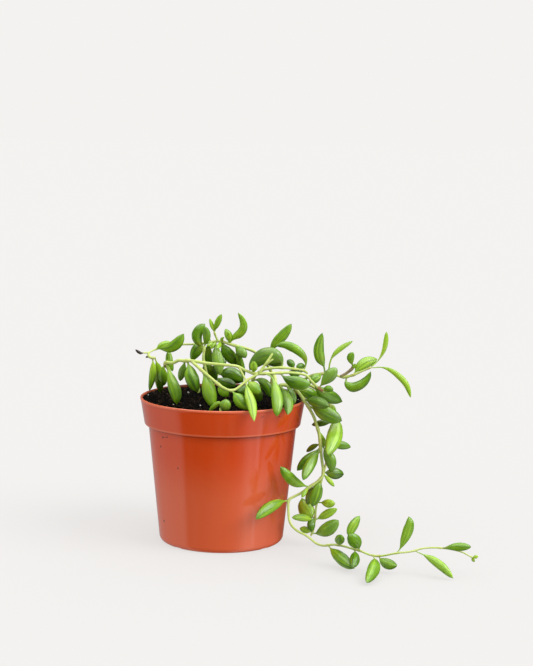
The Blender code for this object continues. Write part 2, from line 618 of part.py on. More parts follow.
def collar_inside(height):
    """Inner radius of the collar at a height."""
    low, high = POT_HEIGHT - COLLAR_HEIGHT + 1.4, POT_HEIGHT - 0.7
    share = (height - low) / (high - low)
    foot = COLLAR_FOOT_RADIUS - WALL
    return foot + (RIM_RADIUS - WALL - 0.15 - foot) * share


def make_soil(holes):
    """Soil that fills the pot, with a hole for each stem that stands in it."""
    side = []
    inside = pot_inside()
    shrink = math.cos(math.pi / POT_STEPS)
    for radius, height in inside[:-1]:
        side.append((radius * shrink - SOIL_GAP, height))
    side[0] = (side[0][0], side[0][1] + SOIL_GAP)
    edge = collar_inside(SOIL_LEVEL) * shrink - SOIL_GAP
    profile = [(0, side[0][1])] + side + [(edge, SOIL_LEVEL - 1.4)]
    profile += [(edge * share, SOIL_LEVEL) for share in (0.93, 0.8, 0.64, 0.46, 0.26)]
    profile.append((0, SOIL_LEVEL))
    builder = turned(profile, SOIL_STEPS)
    for point in builder.verts:
        if point.co.z > SOIL_LEVEL - 2.0:
            at_wall = point.co.z < SOIL_LEVEL - 1.0
            point.co.z = soil_height(point.co.x, point.co.y)
            if at_wall:
                wider = (collar_inside(point.co.z) * shrink - SOIL_GAP) / edge
                point.co.x *= wider
                point.co.y *= wider
    made = mesh_object("potting_soil", builder, material("potting_soil", SOIL_COLOUR, 0.95))
    cutters = []
    for x, y, radius in holes:
        level = soil_height(x, y)
        cutters.append(mesh_object("stem_hole", cylinder(
            radius + HOLE_GAP, level - ROOT_DEPTH - HOLE_GAP, level + 8.0, (x, y), 8,
        )))
    apply_boolean(made, cutters, "DIFFERENCE")
    return made


def smooth_line(points, cuts):
    """A smooth curve through points, with a number of cuts between each two."""
    line = []
    ends = [2 * points[0] - points[1], *points, 2 * points[-1] - points[-2]]
    for before, start, finish, after in zip(ends, ends[1:], ends[2:], ends[3:]):
        for cut in range(cuts):
            t = cut / cuts
            line.append(0.5 * (
                2 * start + (finish - before) * t
                + (2 * before - 5 * start + 4 * finish - after) * t ** 2
                + (3 * start - before - 3 * finish + after) * t ** 3
            ))
    line.append(points[-1].copy())
    return line


def along(line, shares):
    """Points of a line at shares of its length."""
    places = np.array([tuple(point) for point in line])
    steps = np.linalg.norm(np.diff(places, axis=0), axis=1)
    length = np.concatenate(([0.0], np.cumsum(steps)))
    wanted = np.array(shares) * length[-1]
    columns = [np.interp(wanted, length, places[:, axis]) for axis in range(3)]
    return [Vector(point) for point in zip(*columns)], length[-1]


def sides_along(directions, side):
    """Sideways directions of a line, turned from its middle outwards only as the line turns."""
    middle = len(directions) // 2
    found = [side] * len(directions)
    outwards = [(middle, middle)]
    outwards += [(index, index - 1) for index in range(middle + 1, len(directions))]
    outwards += [(index, index + 1) for index in range(middle - 1, -1, -1)]
    for index, nearer in outwards:
        direction = directions[index]
        found[index] = (found[nearer] - direction * found[nearer].dot(direction)).normalized()
    return found


def tube(points, widths, sides, side=None, flat=1.0):
    """A closed skin round a line, as wide as widths and flat times as thick.

    A width of zero at the end closes it in a point.
    """
    builder = bmesh.new()
    rings = []
    last = len(points) - 1
    directions = []
    for index in range(len(points)):
        run = points[min(index + 1, last)] - points[max(index - 1, 0)]
        directions.append(run.normalized())
    acrosses = sides_along(directions, side or directions[len(points) // 2].orthogonal())
    for point, width, direction, across in zip(points, widths, directions, acrosses):
        up = direction.cross(across)
        if width == 0:
            rings.append([builder.verts.new(point)])
            continue
        ring = []
        for corner in range(sides):
            angle = math.tau * corner / sides
            offset = across * math.cos(angle) * width + up * math.sin(angle) * width * flat
            ring.append(builder.verts.new(point + offset))
        rings.append(ring)
    for near, far in zip(rings, rings[1:]):
        for corner in range(sides):
            following = (corner + 1) % sides
            if len(far) == 1:
                builder.faces.new((near[corner], near[following], far[0]))
            else:
                builder.faces.new((near[corner], near[following], far[following], far[corner]))
    builder.faces.new(rings[0][::-1])
    if len(rings[-1]) > 1:
        builder.faces.new(rings[-1])
    return builder


def fullness(share, peak):
    """Width of a leaf's body at a share of its length, widest at the peak's share."""
    power = math.log(0.5) / math.log(peak)
    return math.sin(math.pi * min(share, 1.0) ** power) ** 0.62


def leaf_widths(made, shares):
    """Half widths of a leaf at shares of its whole length, its stalk included."""
    widths = []
    for share in shares:
        body = (share - made["stalk"]) / (1 - made["stalk"])
        if share >= 0.999:
            widths.append(0.0)
        elif body <= 0:
            widths.append(made["root"])
        else:
            full = made["width"] / 2 * fullness(body, made["peak"])
            widths.append(max(made["root"], full))
    return widths


def stem_line(made):
    """The smooth curve of a stem, straight up out of its hole first."""
    points = [Vector(place) if made["plain"] else seen(*place) for place in made["route"]]
    if made["hole"]:
        x, y = made["hole"]
        level = soil_height(x, y)
        points = [Vector((x, y, level)), Vector((x, y, level + 2.5))] + points
    line = smooth_line(points, 8)
    if made["hole"]:
        line = [Vector((x, y, level - ROOT_DEPTH))] + line
    return line


def stem_radius(made, share):
    return made["thick"][0] + (made["thick"][1] - made["thick"][0]) * share


def leaf_line(made, grown_on, swing):
    """The middle line of a leaf that swings back by an extra depth at its tip."""
    root = grown_on["point"]
    looks = [as_seen(root), *made["places"][1:]]
    steps = [math.dist(near, far) for near, far in zip(looks, looks[1:])]
    total = sum(steps)
    points = [root]
    gone = 0.0
    for place, step in zip(looks[1:], steps):
        gone += step
        points.append(seen(*place, root.y + (made["swing"] + swing) * gone / total))
    return smooth_line(points, 6)


def place_on_stem(made, line, place):
    """The point of a stem that looks nearest to a place, and the stem's radius there."""
    nearest = min(range(len(line)), key=lambda index: math.dist(as_seen(line[index]), place))
    share = nearest / (len(line) - 1)
    return {"point": line[nearest], "radius": stem_radius(made, share)}


def beads(points, radii):
    return np.array([(*point, radius) for point, radius in zip(points, radii)])


def wall_gap(rows):
    """Clear distance of beads from the pot's wall, the soil and the ground."""
    middle = WALL / 2
    step = POT_HEIGHT - COLLAR_HEIGHT
    corners = [
        (FOOT_RADIUS, middle), (BODY_FOOT_RADIUS - middle, FOOT_CORNER),
        (BODY_TOP_RADIUS - middle, step), (COLLAR_FOOT_RADIUS - middle, step + middle),
        (RIM_RADIUS - middle, POT_HEIGHT - middle),
    ]
    best = np.inf
    for x, y, z, radius in rows:
        out = math.hypot(x, y)
        for (near_r, near_z), (far_r, far_z) in zip(corners, corners[1:]):
            run, rise = far_r - near_r, far_z - near_z
            share = ((out - near_r) * run + (z - near_z) * rise) / (run ** 2 + rise ** 2)
            share = min(max(share, 0.0), 1.0)
            distance = math.hypot(out - near_r - share * run, z - near_z - share * rise)
            best = min(best, distance - middle - radius)
        if out < RIM_RADIUS - WALL:
            best = min(best, z - soil_height(x, y) - radius)
        best = min(best, z - radius)
    return best


def clear_gap(rows, node, root, taken):
    """Spare distance round a leaf, less what it needs to its own stem and to others."""
    best = wall_gap(rows) - OTHER_STEM_GAP
    for other, placed in taken:
        needed = OTHER_STEM_GAP
        if other == node:
            needed = SAME_STEM_GAP
            far = np.linalg.norm(placed[:, :3] - np.array(root), axis=1) > ROOT_REACH
            placed = placed[far]
        if len(placed):
            apart = np.linalg.norm(rows[:, None, :3] - placed[None, :, :3], axis=2)
            spare = apart - rows[:, None, 3] - placed[None, :, 3]
            best = min(best, spare.min() - needed)
    return best


def leaf_beads(made, line):
    shares = [0.16, 0.25, 0.34, 0.43, 0.52, 0.61, 0.7, 0.79, 0.88, 0.96]
    points, _ = along(line, shares)
    return beads(points, [0.93 * width for width in leaf_widths(made, shares)])


def clear_line(made, grown_on, node, taken):
    """The leaf's middle line with the smallest extra swing that keeps it clear."""
    best = None
    for swing in SWINGS:
        line = leaf_line(made, grown_on, swing)
        gap = clear_gap(leaf_beads(made, line), node, grown_on["point"], taken)
        if gap >= 0:
            return line
        if best is None or gap > best[0]:
            best = (gap, line)
    return best[1]


def out_of_sight(rows):
    """Whether beads behind the pot are hidden by it, as seen from the front."""
    for x, y, z, radius in rows:
        right, height = as_seen(Vector((x, y, z)))
        if height > POT_HEIGHT or abs(right) + radius > pot_wall(height) - 1.0:
            return False
    return True


def rear_leaf(draw, line, share, side):
    """A leaf that hangs from a rear stem, leaning to one side and outwards, its tip curved."""
    (start,), _ = along(line, [share])
    outward = Vector((start.x, start.y, 0.0)).normalized()
    sideways = Vector((-outward.y, outward.x, 0.0)) * side
    length = draw.uniform(*REAR_LENGTH)
    direction = sideways * draw.uniform(*REAR_SIDEWAYS) + outward * draw.uniform(*REAR_OUTWARDS)
    direction.z = -draw.uniform(*REAR_DROP)
    direction.normalize()
    bend = Vector((0.0, 0.0, draw.uniform(*REAR_BEND)))
    middle = start + (direction - bend) * length * 0.5
    made = leaf(0, draw.uniform(*REAR_WIDTH))
    return made, smooth_line([start, middle, start + (direction + bend) * length], 8)


def lay_out_plant():
    """Every stem's line, then every leaf's line, each clear of all that lies before it."""
    draw = random.Random(REAR_SEED)
    lines = {}
    taken = []
    for node, stems in PLANT.items():
        for index, made in enumerate(stems):
            line = stem_line(made)
            lines[node, index] = line
            radii = [stem_radius(made, place / len(line)) for place in range(len(line))]
            taken.append((node, beads(line, radii)))
    placed = {node: [] for node in PLANT}
    for node, stems in PLANT.items():
        for index, made in enumerate(stems):
            for grown in made["leaves"]:
                root = place_on_stem(made, lines[node, index], grown["places"][0])
                grown["root"] = min(STALK_RADIUS, STALK_SHARE * root["radius"])
                line = clear_line(grown, root, node, taken)
                taken.append((node, leaf_beads(grown, line)))
                placed[node].append((grown, line))
    for node in REAR_STEMS:
        made = PLANT[node][0]
        line = lines[node, 0]
        for turn in range(REAR_LEAVES):
            for _ in range(REAR_TRIES):
                step = (turn + draw.uniform(*REAR_SHIFT)) / (REAR_LEAVES - 1)
                share = REAR_FIRST_LEAF + (REAR_LAST_LEAF - REAR_FIRST_LEAF) * min(step, 1.0)
                grown, middle = rear_leaf(draw, line, share, draw.choice((-1, 1)))
                grown["root"] = min(STALK_RADIUS, STALK_SHARE * stem_radius(made, share))
                rows = leaf_beads(grown, middle)
                if out_of_sight(rows) and clear_gap(rows, node, middle[0], taken) >= 0:
                    taken.append((node, rows))
                    placed[node].append((grown, middle))
                    break
    return lines, placed


def make_stem(name, made, line, finish=None):
    _, length = along(line, [0.0])
    count = max(3, round(length / STEM_STEP))
    shares = [index / count for index in range(count + 1)]
    points, _ = along(line, shares)
    if made["hole"]:
        x, y = made["hole"]
        straight = [Vector((x, y, line[0].z)), Vector((x, y, line[0].z + ROOT_DEPTH + 1.0))]
        above = next(index for index, point in enumerate(points) if point.z > straight[1].z + 2.0)
        points = straight + points[above:]
        shares = [index / (len(points) - 1) for index in range(len(points))]
    return mesh_object(
        name, tube(points, [stem_radius(made, share) for share in shares], STEM_SIDES), finish,
    )


def make_leaf(name, made, line):
    shares = [0.0]
    if made["stalk"] > STALK_LENGTH:
        shares.append(made["stalk"])
    shares += [made["stalk"] + (1 - made["stalk"]) * station for station in LEAF_STATIONS]
    shares.append(1.0)
    points, _ = along(line, shares)
    widths = leaf_widths(made, shares)
    middle = len(points) // 2
    direction = (points[middle + 1] - points[middle - 1]).normalized()
    side = direction.cross((points[middle] - EYE).normalized())
    if side.length < 0.35:
        side = direction.cross(Vector((0, 0, 1)))
    return mesh_object(
        name, tube(points, widths, LEAF_SIDES, side.normalized(), LEAF_THICKNESS),
    )


def make_plant():
    finish = material("green_leaf", LEAF_COLOUR, 0.38)
    lines, placed = lay_out_plant()
    for node, stems in PLANT.items():
        body = make_stem(node, stems[0], lines[node, 0], finish)
        others = []
        for index in range(1, len(stems)):
            others.append(make_stem("branch", stems[index], lines[node, index]))
        for grown, line in placed[node]:
            others.append(make_leaf("leaf", grown, line))
        apply_boolean(body, others, "UNION")
        body.data.shade_smooth()
        body.data.set_sharp_from_angle(angle=math.radians(50))


def main():
    for old in list(bpy.data.objects):
        bpy.data.objects.remove(old)
    holes = []
    for stems in PLANT.values():
        holes.append((*stems[0]["hole"], stems[0]["thick"][0]))
    make_pot()
    make_soil(holes)
    make_plant()


main()
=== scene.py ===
"""Looks of the potted string of bananas: a moulded pot, peat with its grains, and leafy stems.

Sizes are in millimetres and become metres where a mesh or a material is made. Every place is
the CAD model's: the origin is the centre of the pot's underside, +Z is up, and the long trail
runs towards +X.
"""

import json
import math
import random

import bmesh
import bpy
import numpy as np
from mathutils import Matrix, Vector, noise

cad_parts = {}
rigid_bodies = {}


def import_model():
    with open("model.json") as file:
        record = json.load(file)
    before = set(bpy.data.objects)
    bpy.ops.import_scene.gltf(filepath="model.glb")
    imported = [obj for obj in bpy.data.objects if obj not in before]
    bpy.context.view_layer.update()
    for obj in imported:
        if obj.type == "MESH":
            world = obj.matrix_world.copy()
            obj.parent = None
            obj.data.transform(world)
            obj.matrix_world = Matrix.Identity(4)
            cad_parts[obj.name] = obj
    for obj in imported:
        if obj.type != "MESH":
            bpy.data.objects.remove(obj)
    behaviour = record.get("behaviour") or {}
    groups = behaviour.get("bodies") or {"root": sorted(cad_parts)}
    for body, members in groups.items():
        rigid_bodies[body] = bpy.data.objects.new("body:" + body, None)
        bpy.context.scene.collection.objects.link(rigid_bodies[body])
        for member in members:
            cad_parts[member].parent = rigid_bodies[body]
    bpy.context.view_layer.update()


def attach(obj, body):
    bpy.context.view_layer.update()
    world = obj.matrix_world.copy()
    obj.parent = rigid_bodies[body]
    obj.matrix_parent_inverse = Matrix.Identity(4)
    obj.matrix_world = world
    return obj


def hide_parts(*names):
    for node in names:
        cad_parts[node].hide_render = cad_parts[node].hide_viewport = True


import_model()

MM = 0.001
BODY = "root"

# Camera, as the photograph was taken, with its turns in degrees
PHOTO_LONG_SIDE = 666
FOCAL_PIXELS = 1553.5
SENSOR_WIDTH = 36.0
CAMERA_YAW = 1.59
CAMERA_PITCH = -7.48
CAMERA_ROLL = 0.9
NEAREST_SEEN = 10.0

# Pot
POT_HEIGHT = 92.0
RIM_RADIUS = 52.5
COLLAR_HEIGHT = 17.0
COLLAR_FOOT_RADIUS = 49.7
COLLAR_SEAT = 1.4
LIP_DEPTH = 0.7
LIP_SWELL = 0.15
BODY_TOP_RADIUS = 47.2
BODY_FOOT_RADIUS = 39.9
FOOT_RADIUS = 37.6
FOOT_CORNER = 3.6
WALL = 1.2
BASE_RECESS = 1.2
RECESS_INNER = 24.5
RECESS_OUTER = 34.2
RECESS_SLOPE = 0.6
DRAIN_HOLES = 8
DRAIN_RADIUS = 3.0
DRAIN_RING = 29.3
DRAIN_CUT = 8.0
DRAIN_SIDES = 28
FOOT_NOTCHES = 4
NOTCH_WIDTH = 6.0
NOTCH_HEIGHT = 0.6
NOTCH_OVERCUT = 4.0
NOTCH_INSET = 1.5
POT_STEPS = 180
CORNER_STEPS = 6
FOOT_STEPS = 12
CRISP_EDGE = 38.0

# Peat
SOIL_LEVEL = 86.0
HEAP = 4.4
HEAP_REACH = 38.0
SIDE_HEAP = 1.6
SOIL_STEPS = 160
SOIL_RINGS = 48
CARRIER_STEPS = 72
CARRIER_RINGS = 24
SOIL_ROUGHNESS = 0.55
SOIL_LUMPS = 0.45
SOIL_SLICE = 4.0
SOIL_SMOOTHNESS = 0.8
SOIL_FINENESS = 2.1
SOIL_OCTAVES = 4
SOIL_WALL_GAP = 0.1
GRAIN_WALL_GAP = 1.1
ROOT_DEPTH = 9.0

# Grains strewn on the peat, with how many at most a square metre takes
GRAINS_AT_MOST = 4e6
FIBRES_AT_MOST = 2e5
GRAIN_LUMPS_A_METRE = 700.0
LUMP_REACH = 4.0
FIBRE_CURL = 1.5
WHITE_GRAIN_LUMPS = 0.35
WHITE_GRAIN_DETAIL = 1.1
WHITE_GRAIN_FORM = (1.15, 1.0, 0.75)
WHITE_GRAIN_SPLITS = 3

# Stems and leaves
STALK_RADIUS = 0.72
STALK_SHARE = 0.62
STALK_LENGTH = 0.09
LEAF_PEAK = 0.52
LEAF_FULLNESS = 0.62
OTHER_STEM_GAP = 0.7
SAME_STEM_GAP = 0.15
ROOT_REACH = 6.5
HOLE_RISE = 2.5
SWINGS = tuple(step * side for step in range(0, 24, 2) for side in (1, -1))
BEAD_SHARES = (0.16, 0.25, 0.34, 0.43, 0.52, 0.61, 0.7, 0.79, 0.88, 0.96)
BEAD_FIT = 0.93
STEM_STEP = 1.1
STEM_SIDES = 12
STEM_CUTS = 8
LEAF_CUTS = 6
LEAF_SIDES = 16
LEAF_RINGS = 24
LEAF_THICKNESS = 0.74
LEAF_SHOULDER = 0.3
LEAF_POINT = 0.12
LEAF_TIP_DARKENING = 0.26
LEAF_END = 0.999
STALK_RINGS = (0.0, 0.35, 0.7)
JOINT_SWELL = 0.3
JOINT_REACH = 1.5
GROOVE_DEPTH = 0.07
GROOVE_SHARPNESS = 10.0
UNEVENNESS = 0.12
LUMPS_A_METRE = 260.0
SEAM_GAP = 0.001
END_ON_VIEW = 0.35
TIP_LENGTH = 0.7
TIP_WIDTH = 0.8

# Studio: soft light from under, beside and over the pot, and what gloss shows there. A fade goes
# by how far up a ray looks, from -1 to 1. Each panel is (degrees round from the front, to the
# right, level), lies under the horizon, and only gloss shows it.
FLOOR_RADIUS = 30000.0
FLOOR_SIDES = 96
FLOOR_PAPER = (0.16, 0.158, 0.155)
FLOOR_GLOW = 0.686
BACKDROP = (244, 242, 240)
KEY_STRENGTH = 2.0
KEY_SPREAD = 40.0
KEY_FROM = (0.82, -0.38, 0.75)
UNDER_LIGHT = 0.52
SIDE_LIGHT = 0.72
TOP_LIGHT = 1.6
SIDE_GLOSS = 0.1
TOP_GLOSS = 2.7
HORIZON = (-0.1, 0.05)
TOP_LIGHT_FADE = (0.15, 0.8)
TOP_GLOSS_FADE = (0.6, 0.78)
PANELS = (
    (-180, 0.4), (-130, 0.5), (-76, 0.85), (-70, 0.75), (-64, 0.04), (-45, 0.0), (5, 0.0),
    (20, 0.12), (32, 0.45), (44, 1.1), (57, 1.15), (60, 2.0), (64, 0.9), (84, 0.7), (98, 0.4),
    (118, 0.2), (138, 0.05), (155, 0.1), (180, 0.4),
)

# Tints, as they look on the screen. A row of steps is (place, tint).
LEAF_TINTS = (
    (0.0, (176, 210, 58)), (0.22, (146, 188, 42)), (0.45, (108, 154, 24)),
    (0.7, (70, 110, 9)), (0.96, (32, 54, 3)),
)
LEAF_OLIVE = (150, 158, 44)
LEAF_BLOOM = (128, 162, 74)
WINDOW_BORDER = (178, 214, 84)
WINDOW_LINE = (70, 118, 34)
LEAF_STALK = (184, 206, 106)
LEAF_TIP = (96, 84, 30)
DRIED_LEAF = (52, 42, 34)
STEM_TINTS = ((0.3, (156, 178, 76)), (0.5, (188, 204, 108)), (0.7, (216, 224, 150)))
STEM_GREEN = (150, 184, 64)
STEM_FOOT = (140, 136, 70)
STEM_JOINT = (176, 142, 84)
STEM_SCAR = (158, 112, 70)
STEM_BROWN = (126, 92, 84)
POT_TINTS = ((0.3, (203, 68, 20)), (0.7, (209, 72, 23)))
POT_FLOW = (212, 100, 62)
POT_FLOOR_REFLECTION = (215, 106, 70)
POT_DUST = (140, 80, 56)
POT_SPECK = (74, 30, 20)
POT_INSIDE_SHADE_AND_PEAT = (50, 18, 10)
PEAT_TINTS = (
    (0.35, (5, 4, 3)), (0.65, (13, 10, 6)), (0.84, (28, 20, 13)), (0.96, (76, 54, 34)),
)
PERLITE_TINTS = ((0.32, (120, 108, 92)), (0.46, (206, 201, 190)), (0.7, (236, 233, 226)))
BARK_TINTS = ((0.2, (24, 16, 11)), (0.5, (50, 34, 22)), (0.8, (104, 76, 48)))

# Painted light on the pot that follows its height. A painted reflection of the pale floor thins
# out from its foot to its top, and a band is (its foot, its top, strength, tint): a painted
# reflection of the floor on the collar's lower edge, a painted shadow under it, and a painted
# highlight along the lip.
FLOOR_REFLECTION_FOOT = 30.0
FLOOR_REFLECTION_TOP = 66.0
BAND_FADE = 0.4
POT_LIGHT_BANDS = (
    (75.2, 76.2, 0.3, (232, 142, 104)), (73.8, 74.9, 0.35, (120, 38, 16)),
    (90.6, 92.0, 0.35, (232, 150, 116)),
)

# Where the pot is darker inside: painted shade with smears of wet peat. Each is the places from
# which
# and to which it sets in: up the collar's inner face from its foot, down it from its top, up the
# lip, and towards the rear.
DARK_INSIDE_OVER_FOOT = (76.5, 78.0)
DARK_INSIDE_UNDER_TOP = (91.7, 90.2)
DARK_INSIDE_ON_LIP = (90.5, 91.2)
DARK_INSIDE_AT_REAR = (4.0, 24.0)

# Marks, each by its place as it looks from the camera, with its depth on a stem, and its radius
MARK_RAGGEDNESS = 1.4
POT_SPECKS = (
    (-38.1, 65.1, 0.9), (-36.7, 65.3, 0.5), (-35.4, 65.2, 0.7), (-39.3, 59.2, 0.8),
    (-28.3, 45.0, 0.6), (-36.9, 10.4, 0.9),
)
STEM_SCARS = ((61.8, 97.6, -27.0, 2.6), (-37.4, 112.2, -13.0, 2.0), (-43.0, 117.0, -9.0, 1.4))
WHITE_GRAINS = (
    (-14.4, 85.7, 0.9), (-22.0, 94.2, 0.75), (-31.6, 86.1, 0.7), (-36.7, 98.2, 0.5),
    (5.1, 98.2, 1.5),
)

# Leaves of the stems behind the pot. A pair is the two limits that a value is drawn between.
REAR_SEED = 7
REAR_LEAVES = 12
REAR_TRIES = 30
REAR_FIRST_LEAF = 0.36
REAR_LAST_LEAF = 0.99
REAR_LENGTH = (15.0, 24.0)
REAR_WIDTH = (5.0, 7.6)
REAR_SIDEWAYS = (0.15, 1.0)
REAR_OUTWARDS = (0.4, 1.0)
REAR_DROP = (0.1, 1.2)
REAR_BEND = (-0.22, 0.3)
REAR_SHIFT = (-0.4, 0.4)
REAR_TONE = (0.3, 0.85)
REAR_CUTS = 8
HIDDEN_MARGIN = 1.0
LOOK_SEED = 23

# The front of the plant is laid out as it looks from this point, a metre before the pot. Each
# place is how far right and how high it looks in the pot's middle plane, with its depth behind
# that plane where the place is on a stem.
EYE = Vector((0.0, -976.3, 261.4))


def seen(right, height, depth):
    """The point at a depth that looks to be at this place of the pot's middle plane."""
    reach = (depth - EYE.y) / -EYE.y
    return Vector((right * reach, depth, EYE.z + (height - EYE.z) * reach))


def as_seen(point):
    """The place of the pot's middle plane where a point looks to be."""
    reach = (point.y - EYE.y) / -EYE.y
    return point.x / reach, EYE.z + (point.z - EYE.z) / reach


def leaf(
    swing, width, *places, stalk=STALK_LENGTH, peak=LEAF_PEAK, point=LEAF_POINT, tone=None,
    tip_darkening=LEAF_TIP_DARKENING, bloom=0.0, window=0.0, dried=0.0,
):
    """A leaf by its middle line: it swings this far back from its stem to its tip.

    Its stalk takes up a share of the whole length. Its body is widest at the peak's share, and
    is drawn to a point over the point's share. Its tone goes from 0, young and yellow, to 1,
    dark; on leaves that lie in shade a darker tone is painted shade. It is darker at the tip
    than at the stem by its tip darkening, which is partly the leaf's own colour and, on leaves
    that hang towards the soil, mostly painted shade. Without a tone, one is drawn. Its bloom,
    its window line and how far it has dried go from 0, none, to 1.
    """
    return {
        "swing": swing, "width": width, "places": places, "stalk": stalk, "peak": peak,
        "point": point, "tone": tone, "tip_darkening": tip_darkening, "bloom": bloom, "window": window,
        "dried": dried,
    }


def stem(route, leaves=(), hole=None, thick=(1.1, 0.8), plain=False, brown=0.0):
    """A stem by its route. A plain route holds real points, any other how it looks."""
    return {
        "route": route, "leaves": leaves, "hole": hole, "thick": thick, "plain": plain,
        "brown": brown,
    }
